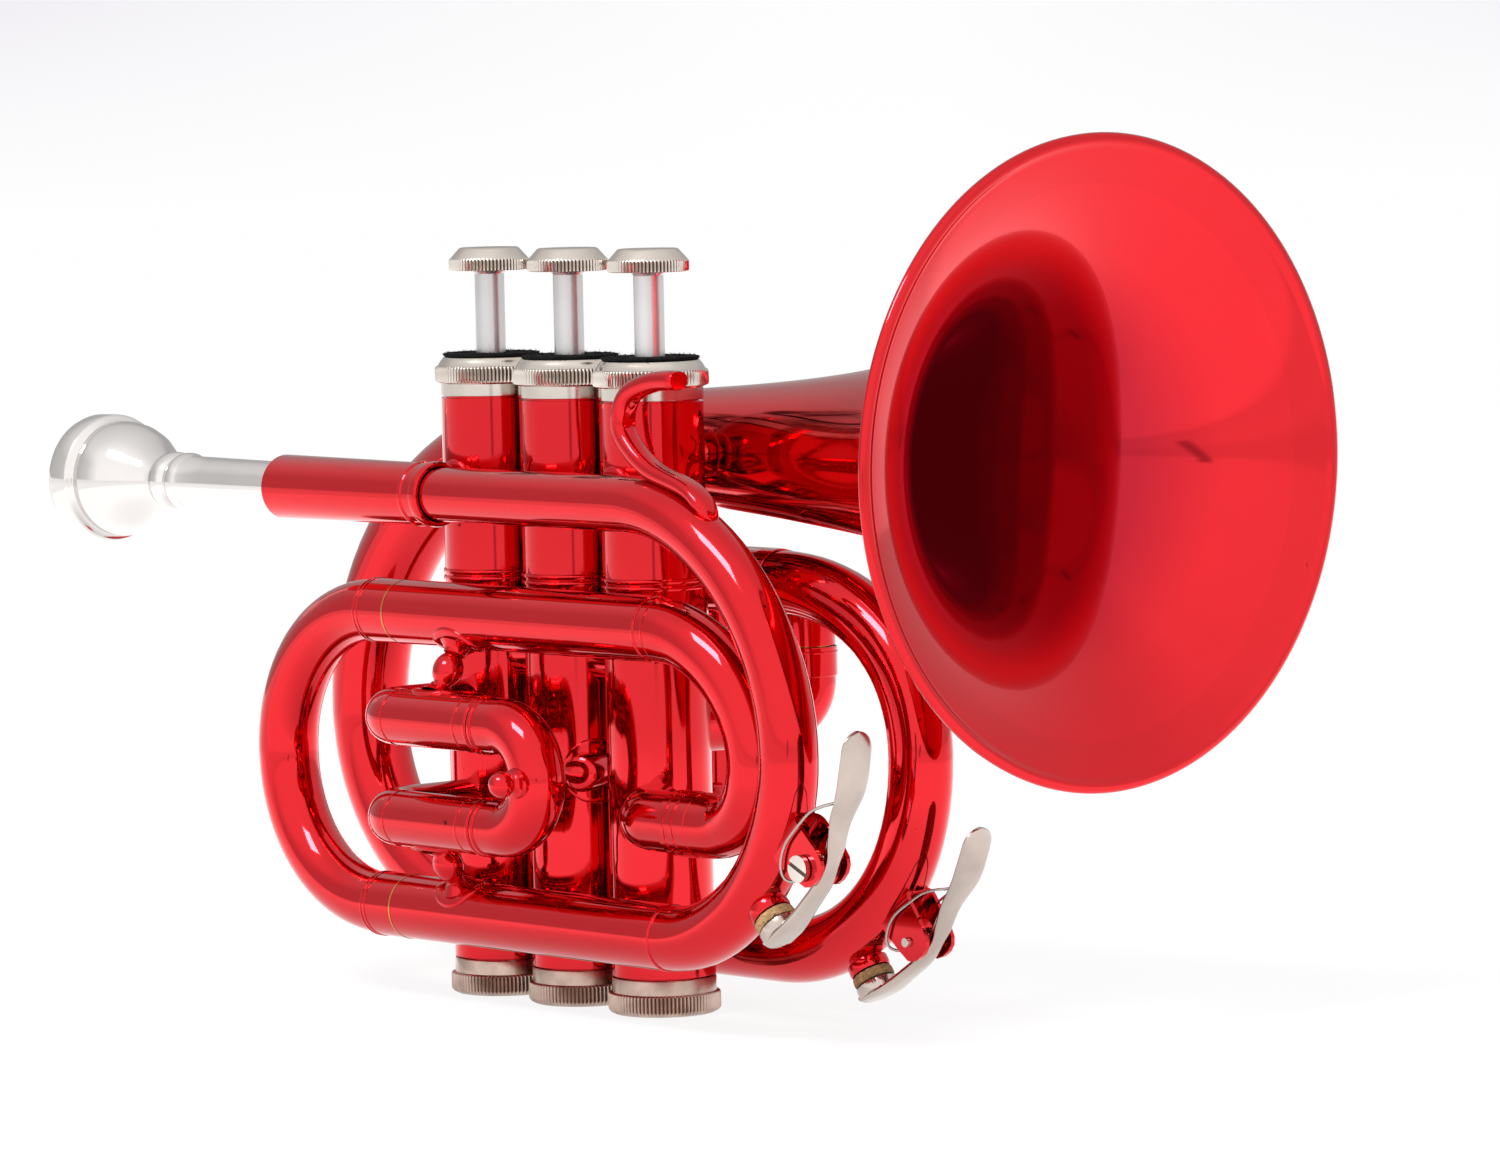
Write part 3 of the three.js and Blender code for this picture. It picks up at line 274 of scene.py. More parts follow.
def ogee(length, width, radius, thickness, power=0.55):
    """An oval leaf, lying on a round body of that radius along Z, with its middle towards X."""
    across, along, sink = 16, 36, 0.3
    rings = []
    for i in range(along + 1):
        h = -math.cos(math.pi * i / along) * 0.995
        half = width * (1 - h * h) ** power
        edge = thickness * (1 - abs(h) ** 12) ** 0.5
        upper, under = [], []
        for j in range(across + 1):
            w = math.sin(lerp(-1, 1, j / across) * math.pi / 2)
            turn = w * half / radius
            rise = edge * (1 - abs(w) ** 10) ** 0.5
            for ring, r in ((upper, radius + rise), (under, radius - sink)):
                ring.append(turned(r, turn, h * length))
        rings.append(upper + under[::-1])
    return stack(rings)


def place(centre, direction, axis):
    """A frame at a body's centre with X towards a direction and Z along the body."""
    x = direction.normalized()
    z = (axis - x * axis.dot(x)).normalized()
    y = z.cross(x)
    return Matrix(((x.x, y.x, z.x, centre.x), (x.y, y.y, z.y, centre.y), (x.z, y.z, z.z, centre.z),
                   (0, 0, 0, 1)))


def helix(radius, low, high, curls, steps=16):
    """Points of a coil about Z."""
    count = int(curls * steps)
    return [turned(radius, 2 * math.pi * i / steps, lerp(low, high, i / count)) for i in range(count + 1)]


def spline(points, steps=8):
    """A smooth curve through points."""
    made = []
    for i in range(len(points) - 1):
        p0, p1, p2, p3 = (points[min(max(k, 0), len(points) - 1)] for k in (i - 1, i, i + 1, i + 2))
        for s in range(steps):
            t = s / steps
            made.append(0.5 * (2 * p1 + (p2 - p0) * t + (2 * p0 - 5 * p1 + 4 * p2 - p3) * t**2
                               + (3 * p1 - p0 - 3 * p2 + p3) * t**3))
    return made + [points[-1]]


# Node helpers: each takes a node tree and gives back the socket that it makes
def ramp_of(tree, source, stops):
    """A colour ramp, whose stops are greys or colours."""
    made = tree.nodes.new("ShaderNodeValToRGB")
    elements = made.color_ramp.elements
    for i, (position, value) in enumerate(stops):
        element = elements[i] if i < 2 else elements.new(position)
        element.position = position
        element.color = (*value, 1) if isinstance(value, tuple) else (value, value, value, 1)
    tree.links.new(source, made.inputs["Fac"])
    return made.outputs["Color"]


def math_of(tree, operation, a, b=0.0, c=0.0):
    """A math node on numbers or sockets."""
    made = tree.nodes.new("ShaderNodeMath")
    made.operation = operation
    for socket, value in zip(made.inputs, (a, b, c)):
        if isinstance(value, (int, float)):
            socket.default_value = value
        else:
            tree.links.new(value, socket)
    return made.outputs[0]


def mix_of(tree, factor, first, second):
    """A mix of two colours, each a socket or plain."""
    made = tree.nodes.new("ShaderNodeMix")
    made.data_type = "RGBA"
    tree.links.new(factor, made.inputs["Factor"])
    for letter, colour in (("A", first), ("B", second)):
        if isinstance(colour, tuple):
            made.inputs[letter].default_value = (*colour, 1)
        else:
            tree.links.new(colour, made.inputs[letter])
    return made.outputs["Result"]


def shader_mix(tree, factor, first, second):
    """The second shader where the factor is 1, and the first elsewhere."""
    made = tree.nodes.new("ShaderNodeMixShader")
    if isinstance(factor, float):
        made.inputs["Fac"].default_value = factor
    else:
        tree.links.new(factor, made.inputs["Fac"])
    tree.links.new(first, made.inputs[1])
    tree.links.new(second, made.inputs[2])
    return made.outputs["Shader"]


def vector_of(tree, operation, source, output="Value"):
    """A vector math node on one vector."""
    made = tree.nodes.new("ShaderNodeVectorMath")
    made.operation = operation
    tree.links.new(source, made.inputs[0])
    return made.outputs[output]


def dot_of(tree, source, way):
    """How far a vector points along a way."""
    made = vector_of(tree, "DOT_PRODUCT", source)
    made.node.inputs[1].default_value = way
    return made


# Finishes
ROUGH_SCALE, BUMP_DEPTH = 35, 0.0005


def node_material(name, colour, metallic, roughness, bump, sockets=None, stretch=(1, 1, 1), shade=0.85,
                  colour_scale=60, specks=None, painted_deep_shade=None):
    """A principled material whose colour, roughness and bump vary over the surface.

    Roughness is (least, most), bump (strength, scale) and specks (scale, threshold, colour).
    Painted deep shade is (near, far, colour): painted shade, a darker colour that takes over along the part's
    X."""
    material = bpy.data.materials.new(name)
    material.use_nodes = True
    tree = material.node_tree
    nodes, links = tree.nodes, tree.links
    shader = nodes["Principled BSDF"]
    shader.inputs["Metallic"].default_value = metallic
    for socket, value in (sockets or {}).items():
        shader.inputs[socket].default_value = value
    where = nodes.new("ShaderNodeTexCoord")
    mapping = nodes.new("ShaderNodeMapping")
    mapping.inputs["Scale"].default_value = stretch
    links.new(where.outputs["Object"], mapping.inputs["Vector"])

    def texture(scale, detail=3.0):
        made = nodes.new("ShaderNodeTexNoise")
        made.inputs["Scale"].default_value = scale
        made.inputs["Detail"].default_value = detail
        links.new(mapping.outputs["Vector"], made.inputs["Vector"])
        return made.outputs["Fac"]

    dark = tuple(c * shade for c in colour)
    tint = ramp_of(tree, texture(colour_scale), [(0.35, dark), (0.65, colour)])
    # Painted shade: the colour darkens along X, as deep in the bell's throat
    if painted_deep_shade:
        near, far, inner = painted_deep_shade
        split = nodes.new("ShaderNodeSeparateXYZ")
        links.new(where.outputs["Object"], split.inputs[0])
        span = nodes.new("ShaderNodeMapRange")
        span.inputs["From Min"].default_value, span.inputs["From Max"].default_value = near, far
        links.new(split.outputs["X"], span.inputs["Value"])
        tint = mix_of(tree, span.outputs["Result"], tint, inner)
    if specks:
        scale, threshold, spot = specks
        spots = ramp_of(tree, texture(scale, 1.0), [(threshold, 0.0), (threshold + 0.04, 1.0)])
        tint = mix_of(tree, spots, tint, spot)
    links.new(tint, shader.inputs["Base Color"])
    smooth, rough = roughness
    links.new(ramp_of(tree, texture(ROUGH_SCALE, 4.0), [(0.3, smooth), (0.75, rough)]),
              shader.inputs["Roughness"])
    relief = nodes.new("ShaderNodeBump")
    relief.inputs["Strength"].default_value, bump_scale = bump
    relief.inputs["Distance"].default_value = BUMP_DEPTH
    links.new(texture(bump_scale, 2.0), relief.inputs["Height"])
    links.new(relief.outputs["Normal"], shader.inputs["Normal"])
    return material


COAT = {"Coat Weight": 0.22, "Coat Roughness": 0.03, "Coat IOR": 1.5}
RED = (0.60, 0.0120, 0.0185)
MATERIALS = {
    "red_lacquer": node_material("Red lacquer", RED, 1.0, (0.05, 0.10), (0.012, 90), sockets=COAT, shade=0.95,
                                 colour_scale=25, specks=(420, 0.80, (0.12, 0.0, 0.005))),
    "nickel": node_material("Nickel", (0.60, 0.54, 0.485), 1.0, (0.10, 0.26), (0.03, 250), shade=0.86,
                            colour_scale=120),
    "satin_steel": node_material("Satin steel", (0.58, 0.565, 0.56), 0.9, (0.26, 0.38), (0.05, 1500),
                                 stretch=(1, 1, 0.06), specks=(900, 0.74, (0.2, 0.19, 0.2))),
    "silver_plate": node_material("Silver plate", (0.68, 0.65, 0.632), 1.0, (0.04, 0.11), (0.01, 120),
                                  shade=0.95),
    "black_felt": node_material("Black felt", (0.007, 0.0065, 0.007), 0.0, (0.9, 1.0), (0.8, 1800), shade=0.4,
                                colour_scale=900, sockets={"Specular IOR Level": 0.1}),
    "cork": node_material("Cork", (0.40, 0.24, 0.10), 0.0, (0.75, 0.95), (0.6, 900), shade=0.55,
                          colour_scale=700, specks=(1500, 0.66, (0.10, 0.05, 0.025))),
    "spring_steel": node_material("Spring steel", (0.42, 0.39, 0.36), 1.0, (0.18, 0.34), (0.05, 1200)),
}

# Materials of parts of a piece, or of pieces whose finish differs from their slot's
worn_nickel = node_material("Worn nickel", (0.55, 0.40, 0.335), 1.0, (0.2, 0.4), (0.05, 300), shade=0.72,
                            colour_scale=260)
# Painted shade: a darker copy of the nickel, for the levers.
lever_nickel_painted_darker = node_material("Nickel of the levers, darkened as painted shade", (0.50, 0.415, 0.368), 1.0, (0.12, 0.28), (0.03, 250),
                             shade=0.8, colour_scale=90)
brass = node_material("Bare brass", (0.63, 0.24, 0.07), 1.0, (0.18, 0.32), (0.03, 400))
# Painted shade in the knurl grooves and the screw slots: dark, and brown on the bottom caps.
painted_groove_shade = node_material("Dark grooves of painted shade", (0.085, 0.06, 0.048), 0.6, (0.5, 0.75), (0.05, 900))
brown_painted_groove_shade = node_material("Brown grooves of painted shade", (0.22, 0.11, 0.082), 0.6, (0.5, 0.75), (0.05, 900))
# Painted shade and glow: the lacquer darkens deep in the bell's throat, and a faint red emission makes the
# throat glow.
throat = node_material("Red lacquer with painted shade and glow in the throat", RED, 1.0, (0.05, 0.10), (0.012, 90), shade=0.95,
                       colour_scale=25, painted_deep_shade=(0.117, 0.105, (0.38, 0.006, 0.018)),
                       sockets={**COAT, "Emission Color": (1.0, 0.01, 0.05, 1), "Emission Strength": 0.035})

body_of = {node: body for body, nodes in frame["record"]["behaviour"]["bodies"].items() for node in nodes}
for row in frame["record"]["subparts"]:
    obj = frame["nodes"][row["node"]]
    obj.data.materials.clear()
    obj.data.materials.append(MATERIALS[row["material_slot"]])


def piece(name, form, *nodes, slot="red_lacquer", sharp=32, second=None, body=None, across=None):
    """The smooth mesh that stands for CAD nodes, or a trim piece on a body where it names none.

    Second is the material of the faces whose slot is 1. Across holds a second body and two points, which
    nothing
    reads: given them, the mesh rides no body and keeps its place in the world."""
    mesh = bpy.data.meshes.new(name)
    mesh.from_pydata([p * MM for p in form.points], [], form.faces)
    mesh.materials.append(MATERIALS[slot])
    if second:
        mesh.materials.append(second)
    mesh.polygons.foreach_set("material_index", form.slots)
    work = bmesh.new()
    work.from_mesh(mesh)
    bmesh.ops.recalc_face_normals(work, faces=work.faces)
    work.to_mesh(mesh)
    work.free()
    mesh.shade_smooth()
    mesh.set_sharp_from_angle(angle=math.radians(sharp))
    obj = bpy.data.objects.new(name, mesh)
    scene.collection.objects.link(obj)
    rides = body or body_of[nodes[0]]
    if across:
        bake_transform(obj)
    else:
        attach(obj, rides)
    if nodes:
        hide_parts(*nodes)
    return obj


def bead(radius, middle, half=RIDGE_HALF, rise=RIDGE_RISE):
    """The outline points of a rounded ring on a tube."""
    return [(radius, middle - half), (radius + rise * 0.75, middle - half * 0.8),
            (radius + rise, middle - half * 0.3), (radius + rise, middle + half * 0.3),
            (radius + rise * 0.75, middle + half * 0.8), (radius, middle + half)]


def pipe(start, end, radius, wall=WALL, rings=()):
    """The outline of a tube with softened ends and fine rings."""
    outer = [(radius - EDGE, start), (radius, start + EDGE)]
    for middle in rings:
        outer += bead(radius, middle)
    return outer + [(radius, end - EDGE), (radius - EDGE, end), (radius - wall, end), (radius - wall, start)]


# Valves
CAP_TEETH, TOP_CAP_TEETH, BUTTON_TEETH = 86, 92, 66
WEB_HALF, WEB_REACH, WEB_HEIGHT, WEB_Z = 1.7, 9, 2.5, 92.75
LINK_Z, BUTTON_Z = 70, 147.45
FIBRES, FIBRE_R, FELT_SIDES = 1300, 0.07, 72
for number, x in enumerate(VALVES, 1):
    at = Matrix.Translation((x, 0, 0))
    r = CASING_R
    outline = [(CASING_BORE, 4.6), (9.5, 4.6), (9.5, 7.5), (r - 0.1, 7.5), (r, 7.6)]
    outline += [*bead(r, 85.1, 0.5, 0.36), *bead(r, 86.5, 0.5, 0.36)]
    outline += [(r, 121.7), (r - 0.1, 121.8), (9.5, 121.8), (9.5, 124.7), (CASING_BORE, 124.7)]
    casing = Form().add(lathe(outline, 96, True), at)
    web = [(x + a * WEB_HALF, b * WEB_REACH) for a, b in ((-1, -1), (1, -1), (1, 1), (-1, 1))]
    casing.add(plate(web, WEB_HEIGHT), Matrix.Translation((0, 0, WEB_Z)))
    if number == 2:
        casing.add(lathe([(5.3, -15.9), (5, -15.9), (5, 15.9), (4.4, 15.9), (4.4, 9.3)], 48),
                   along_x(0, LINK_Z))
    piece(f"casing_{number}_smooth", casing, f"valve_casing_{number}")

    low = [(9.8, 1.8), (0.4, 1.8), (0.4, 0.15), (8.6, 0.15), (9.3, 0), (10.2, 0), (10.85, 0.35, 0.1),
           (11.2, 0.8, 0.4), (11.26, 1.1, 0.6), (11.26, 3.7, 0.6), (11.15, 4.0, 0.3), (10.8, 4.2, 0.05),
           (10.45, 4.3), (10.42, 4.5), (10.42, 6.95), (10.3, 7.2), (9.8, 7.2)]
    # The knurl grooves take painted shade: brown on the bottom caps, dark on the top caps and buttons.
    cap = piece(f"bottom_cap_{number}_smooth", knurled(Form(), low, CAP_TEETH, at), f"bottom_cap_{number}",
                slot="nickel", sharp=40, second=brown_painted_groove_shade)
    cap.data.materials[0] = worn_nickel

    high = [(9.8, 122.1), (10.3, 122.1), (10.45, 122.25), (10.45, 124.6), (10.8, 124.75),
            (11.35, 124.95, 0.2), (11.58, 125.3, 0.55), (11.58, 127.5, 0.55), (11.45, 127.85, 0.3),
            (11.3, 128.05), (10.95, 128.2), (10.35, 129.2), (9.8, 129.85), (9.6, 130.02), (3.3, 130.02),
            (3.3, 128.3), (9.8, 128.3)]
    piece(f"top_cap_{number}_smooth", knurled(Form(), high, TOP_CAP_TEETH, at), f"top_cap_{number}",
          slot="nickel", sharp=40, second=painted_groove_shade)

    b = BUTTON_Z
    button = [(0.3, b), (7.4, b), (7.75, b - 0.02), (8.05, b + 0.1, 0.25), (8.2, b + 0.3, 0.55),
              (8.2, b + 2.0, 0.55), (8.1, b + 2.2, 0.25), (7.95, b + 2.35), (7.75, b + 2.6), (6.4, b + 4.1),
              (6.1, b + 4.45), (5.7, b + 4.6), (5.3, b + 4.5), (4.8, b + 4.35), (2.5, b + 4.25),
              (0.3, b + 4.22)]
    piece(f"button_{number}_smooth", knurled(Form(), button, BUTTON_TEETH, at), f"finger_button_{number}",
          slot="nickel", sharp=40, second=painted_groove_shade)

    stem = [(3.02, 128.6), (3.02, 146.7), (3.35, 147.15), (2.0, 147.2), (2.0, 128.6)]
    piece(f"stem_{number}_sleeve", Form().add(lathe(stem, 48, True), at), slot="satin_steel",
          body=f"valve_{number}")

    # Felt: a soft disc and short fibres, most of them round its edge
    rng = random.Random(number)
    disc = [[turned(q, t, h + 0.1 * noise.noise(turned(q, t, h)))
             for t in (2 * math.pi * i / FELT_SIDES for i in range(FELT_SIDES))]
            for q, h in ((3.3, 130.1), (9.6, 130.1), (9.85, 130.25), (9.8, 130.6), (9.2, 130.75),
                         (6.0, 130.7), (3.6, 130.7), (3.3, 130.4))]
    felt = Form().add(stack(disc, True), at)
    for _ in range(FIBRES):
        turn, q = rng.uniform(0, 2 * math.pi), 9.85 * math.sqrt(rng.uniform(0.3, 1))
        foot = vec(x + q * math.cos(turn), q * math.sin(turn), rng.uniform(130.25, 130.7))
        lean = vec(rng.uniform(-1, 1), rng.uniform(-1, 1), rng.uniform(-0.1, 0.8)) * rng.uniform(0.3, 0.9)
        bend = vec(rng.uniform(-1, 1), rng.uniform(-1, 1), rng.uniform(-0.5, 0.4)) * 0.35
        fibre = [foot, foot + lean * 0.6 + bend * 0.3, foot + lean + bend]
        felt.add(sweep(fibre, lambda s: FIBRE_R * (1.05 - s), 0, 3))
    piece(f"felt_{number}_soft", felt, f"cap_felt_{number}", slot="black_felt")

    spring = sweep(helix(5.2, 94.55, 127.2, 11), 0.42, 0, 8)
    wound = piece(f"spring_{number}_wound", Form().add(spring, at), f"valve_spring_{number}",
                  slot="spring_steel", body="horn")
    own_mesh(wound)

# Mouthpiece, receiver and leadpipe
cup = [(7.9, -132.1), (8.15, -132.6), (8.9, -132.85), (10.6, -132.85), (12.2, -132.55), (13.1, -131.9),
       (13.45, -130.8), (13.5, -126.2), (13.35, -125.7), (12.9, -125.4), (12.3, -125.2), (11.95, -124.8),
       (11.95, -124.3), (12.15, -123.6), (12.1, -121.8), (11.7, -119.2), (10.9, -116.9), (9.6, -114.6),
       (8.1, -112.5), (6.9, -110.6), (6.0, -108.8), (5.45, -107.4), (5.35, -106.9), (5.8, -106.5),
       (6.1, -105.6), (6.15, -104.2), (5.95, -102.8), (5.3, -102.2), (5.25, -101.6), (5.75, -101.1),
       (6.05, -100.2), (6.05, -99.2), (5.7, -98.1), (5.4, -97.4), (5.35, -90.0), (5.2, -77.3), (4.9, -44.1),
       (4.8, -44.0), (4.1, -44.0), (1.85, -110.3), (1.85, -119.8), (2.4, -120.9), (4.5, -123.6),
       (6.6, -126.6), (7.5, -129.2)]
piece("mouthpiece_smooth", Form().add(lathe(cup, 96, True), along_x(LEAD_Y, LEAD_Z)), "mouthpiece",
      slot="silver_plate", sharp=40)

sock = [(6.45, -66.3), (6.63, -66.1), (6.25, -22.2), (6.2, -21.6), (6.5, -21.35), (6.6, -20.9), (6.5, -20.45),
        (6.28, -20.2), (6.28, -18.0), (6.5, -17.8), (6.62, -17.3), (6.62, -16.3), (6.5, -15.8), (6.2, -15.6),
        (5.7, -15.6), (5.7, -25.9), (4.8, -25.9), (4.8, -43.7), (5.2, -43.7), (5.5, -66.3)]
receiver = Form().add(lathe(sock, 72, True), along_x(LEAD_Y, LEAD_Z))


def post(form, start, end, ball, radius):
    """A turned post between two surfaces, flared at both ends, with a ball of that radius in its middle."""
    length = (end - start).length
    half = length / 2
    flare = [(radius * 1.9, -0.3), (radius * 1.5, 0.35), (radius * 1.25, 0.9), (radius * 1.15, 1.6)]
    free = half - ball * 1.1
    outline = [p for p in flare if p[1] < free]
    if ball:
        for k in range(-6, 7):
            t = k / 6 * math.pi / 2 * 0.85
            outline.append((max(ball * math.cos(t), radius * 0.9), half + ball * 1.2 * math.sin(t)))
    outline += [(q, length - h) for q, h in reversed(flare) if h < free]
    turn = (end - start).to_track_quat("Z", "Y").to_matrix().to_4x4()
    form.add(lathe(outline, 32), Matrix.Translation(start) @ turn)


LEAF_LENGTH, LEAF_WIDTH, LEAF_THICKNESS = 6.21, 5.2, 0.55


def brace(form, first, second, ball=0.0, neck=1.6):
    """A post between two round bodies given as (centre, axis, radius), on an oval leaf at each end."""
    (ca, aa, ra), (cb, ab, rb) = first, second
    way = (cb - ca).normalized()
    for centre, axis, radius, turn in ((ca, aa, ra, way), (cb, ab, rb, -way)):
        form.add(ogee(LEAF_LENGTH, LEAF_WIDTH, radius, LEAF_THICKNESS), place(centre, turn, axis))
    post(form, ca + way * (ra + FIT), cb - way * (rb + FIT), ball, neck)


AX, AZ = vec(1, 0, 0), vec(0, 0, 1)
brace(receiver, (vec(VALVES[0], LEAD_Y, LEAD_Z), AX, RECEIVER_R), (vec(VALVES[0], 0, LEAD_Z), AZ, CASING_R))
piece("receiver_smooth", receiver, "leadpipe_receiver")
lead_brace = Form()
brace(lead_brace, (vec(VALVES[2], LEAD_Y, LEAD_Z), AX, LEAD_R), (vec(VALVES[2], 0, LEAD_Z), AZ, CASING_R))
piece("leadpipe_brace_smooth", lead_brace, "leadpipe_brace")

outer_bend = bow(vec(42.84, LEAD_Y, LEAD_Z), vec(87.76, (LEAD_Y + SLIDE_Y) / 2, 56.36),
                 vec(SLEEVE_LOWER_END, SLIDE_Y, SLEEVE_LOW_Z), (0.54, 0.52, 0.54, 0.5))
lead_path = [vec(-25.6, LEAD_Y, LEAD_Z)] + outer_bend
leadpipe = sweep(lead_path, lambda s: lerp(5.4, 6.0, s) + 0.4 * max(0, s * 8 - 7) ** 0.5)
piece("leadpipe_smooth", Form().add(leadpipe), "leadpipe")

# Main tuning slide
HALF_FIT, RING_IN = 0.15, 0.4
for label, z, end in (("upper", SLEEVE_TOP_Z, SLEEVE_UPPER_END), ("lower", SLEEVE_LOW_Z, SLEEVE_LOWER_END)):
    sleeve = pipe(SLEEVE_START + HALF_FIT, end, SLEEVE_R, rings=(end - RING_IN,))
    piece(f"tuning_sleeve_{label}_smooth", Form().add(lathe(sleeve, 64, True), along_x(SLIDE_Y, z)),
          f"tuning_sleeve_{label}")
crook_x = SLEEVE_START - HALF_FIT - 9.5
SEAM_HALF, SEAM_OUT, SEAM_IN = 0.22, SLEEVE_R + 0.07, 5.5
crook = Form().add(sweep(bow(vec(crook_x, SLIDE_Y, SLEEVE_TOP_Z), vec(-70.27, SLIDE_Y, 48.62),
                             vec(crook_x, SLIDE_Y, SLEEVE_LOW_Z), (0.55, 0.55, 0.57, 0.57)), 6.2, 1.17))
for z in (SLEEVE_TOP_Z, SLEEVE_LOW_Z):
    at = along_x(SLIDE_Y, z)
    ferrule = pipe(crook_x - FIT, SLEEVE_START - HALF_FIT, SLEEVE_R, 1.5,
                   rings=(crook_x + 0.2, crook_x + 1.3))
    crook.add(lathe(ferrule, 64, True), at)
    crook.add(lathe([(5.63, -30), (5.63, 25.4), (5.03, 25.4), (5.03, -38)], 64, True), at, 1)
    seam = [(SEAM_OUT, SLEEVE_START - SEAM_HALF), (SEAM_OUT, SLEEVE_START + SEAM_HALF),
            (SEAM_IN, SLEEVE_START + SEAM_HALF), (SEAM_IN, SLEEVE_START - SEAM_HALF)]
    crook.add(lathe(seam, 64, True), at, 1)
piece("tuning_crook_smooth", crook, "tuning_slide", second=brass)

# Inner bow and inlet
inner_path = bow(vec(SLEEVE_UPPER_END, SLIDE_Y, SLEEVE_TOP_Z), vec(75.45, -18, 53.84),
                 vec(60.27, INLET_Y, INLET_Z), (0.543, 0.53, 0.55, 0.55))
inner_path.append(vec(INLET_END, INLET_Y, INLET_Z))
inner = Form().add(sweep(inner_path, lambda s: 6.1 + 0.3 * max(0, 1 - s * 9) ** 0.5
                         + 0.25 * max(0, s * 10 - 9) ** 0.5))
inner.add(lathe(bead(6.3, 51.2) + [(5.9, 51.4), (5.9, 51.0)], 64, True), along_x(SLIDE_Y, SLEEVE_TOP_Z))
piece("inner_bow_smooth", inner, "inner_bow")


def from_wall(corner):
    """The point in the third casing's wall where a tube towards a corner starts."""
    axis = vec(VALVES[2], 0, corner.z)
    return axis + (corner - axis).normalized() * SEAT


knee = vec(40.3, INLET_Y, INLET_Z)
inlet_path = route([from_wall(knee), knee, vec(INLET_END, INLET_Y, INLET_Z)], 7)
knuckle = Form().add(sweep(inlet_path, INLET_R, seat=SEAT))
knuckle.add(lathe(pipe(49.8, INLET_END, 6.45, 0.95, rings=(51.9, 54.4)), 64, True), along_x(INLET_Y, INLET_Z))
piece("inlet_knuckle_smooth", knuckle, "inlet_knuckle")

# Far side tubing and the bell
outlet_path = route([vec(VALVES[0], SEAT, OUTLET_Z), vec(VALVES[0], OUTLET_Y, OUTLET_Z),
                     vec(OUTLET_END - FIT, OUTLET_Y, OUTLET_Z)], 7.5)
outlet = Form().add(sweep(outlet_path, OUTLET_R, seat=SEAT))
outlet.add(lathe(pipe(33.5, 38.05, 6.7, 0.9), 64, True), along_x(OUTLET_Y, OUTLET_Z))
piece("outlet_smooth", outlet, "outlet_tube")
right_path = bow(vec(OUTLET_END, OUTLET_Y, OUTLET_Z), vec(78.05, OUTLET_Y, 52.2),
                 vec(37.02, OUTLET_Y, LOW_TUBE_Z), (0.59, 0.6, 0.57, 0.56))
right_path.append(vec(-48.29, OUTLET_Y, LOW_TUBE_Z))
right_bow = Form().add(sweep(right_path, lambda s: lerp(OUTLET_R, LOW_TUBE_R, s)))
piece("right_bow_smooth", right_bow, "right_bow")
bell_path = bow(vec(BELL_TAIL_X - FIT, BELL_Y, BELL_Z), vec(-98.96, (BELL_Y + OUTLET_Y) / 2, 52.07),
                vec(-48.59, OUTLET_Y, LOW_TUBE_Z), (0.55, 0.59, 0.56, 0.55))
bell_bow = Form().add(sweep(bell_path, lambda s: lerp(9.6, 7.04, s), sides=48))
piece("bell_bow_smooth", bell_bow, "bell_bow")

bell_length = BELL_MOUTH_X - BELL_TAIL_X
flare = math.log(BELL_R / BELL_TAIL_R) / math.log((bell_length + BELL_OFFSET) / BELL_OFFSET)


def bell_radius(distance):
    """The bell's outer radius at a distance from its mouth."""
    depth = distance / BELL_SWELL_DEPTH
    swell = BELL_SWELL * depth * math.exp(1 - depth)
    return BELL_R * ((distance + BELL_OFFSET) / BELL_OFFSET) ** -flare + swell


BELL_STEPS, BELL_SIDES, THROAT_DEPTH = 70, 160, 4
stations = [bell_length * (i / BELL_STEPS) ** 2 for i in range(4, BELL_STEPS + 1)]
bell_outline = [(60.35, 127.62), (60.6, 127.95), (61.2, 128.12), (62.1, 128.1), (62.6, 127.85),
                (62.82, 127.35), (62.75, 126.85), (62.4, 126.45), (61.8, 126.3)]
bell_outline += [(bell_radius(d), BELL_MOUTH_X - d) for d in stations if d > 1.5]
inner_outline = [(bell_radius(d) - WALL, BELL_MOUTH_X - d) for d in stations if d > 0.8][::-1]
horn = Form().add(lathe(bell_outline + inner_outline, BELL_SIDES, True), along_x(BELL_Y, BELL_Z))
# The inner faces deeper than THROAT_DEPTH take the throat's painted shade and glow.
for i, face in enumerate(horn.faces):
    row = face[0] // BELL_SIDES - len(bell_outline)
    if 0 <= row < len(inner_outline) and inner_outline[row][1] < BELL_MOUTH_X - THROAT_DEPTH:
        horn.slots[i] = 1
piece("bell_smooth", horn, "bell", sharp=50, second=throat)

for number in (1, 3):
    x = VALVES[number - 1]
    form = Form()
    brace(form, (vec(x, BELL_Y, BELL_Z), AX, bell_radius(BELL_MOUTH_X - x)),
          (vec(x, 0, BELL_Z), AZ, CASING_R))
    piece(f"bell_brace_{number}_smooth", form, f"bell_brace_{number}")

# Valve slides
for label, z in (("upper", FIRST_HIGH), ("lower", FIRST_LOW)):
    corners = [vec(VALVES[0], -SEAT, z), vec(VALVES[0], FIRST_Y, z), vec(FIRST_END, FIRST_Y, z)]
    sleeve = Form().add(sweep(route(corners, 6.4), FIRST_R, seat=SEAT))
    sleeve.add(lathe(pipe(8.0, FIRST_END, 5.78, 0.8, rings=(8.7,)), 64, True), along_x(FIRST_Y, z))
    for ring_x in (-18.2, 4.9):
        sleeve.add(lathe(bead(5.58, ring_x) + [(5.4, ring_x)], 64, True), along_x(FIRST_Y, z))
    piece(f"first_sleeve_{label}_smooth", sleeve, f"first_slide_sleeve_{label}")
start, bend = FIRST_END + FIT, (FIRST_HIGH - FIRST_LOW) / 2
apex = start + 4.7 + bend
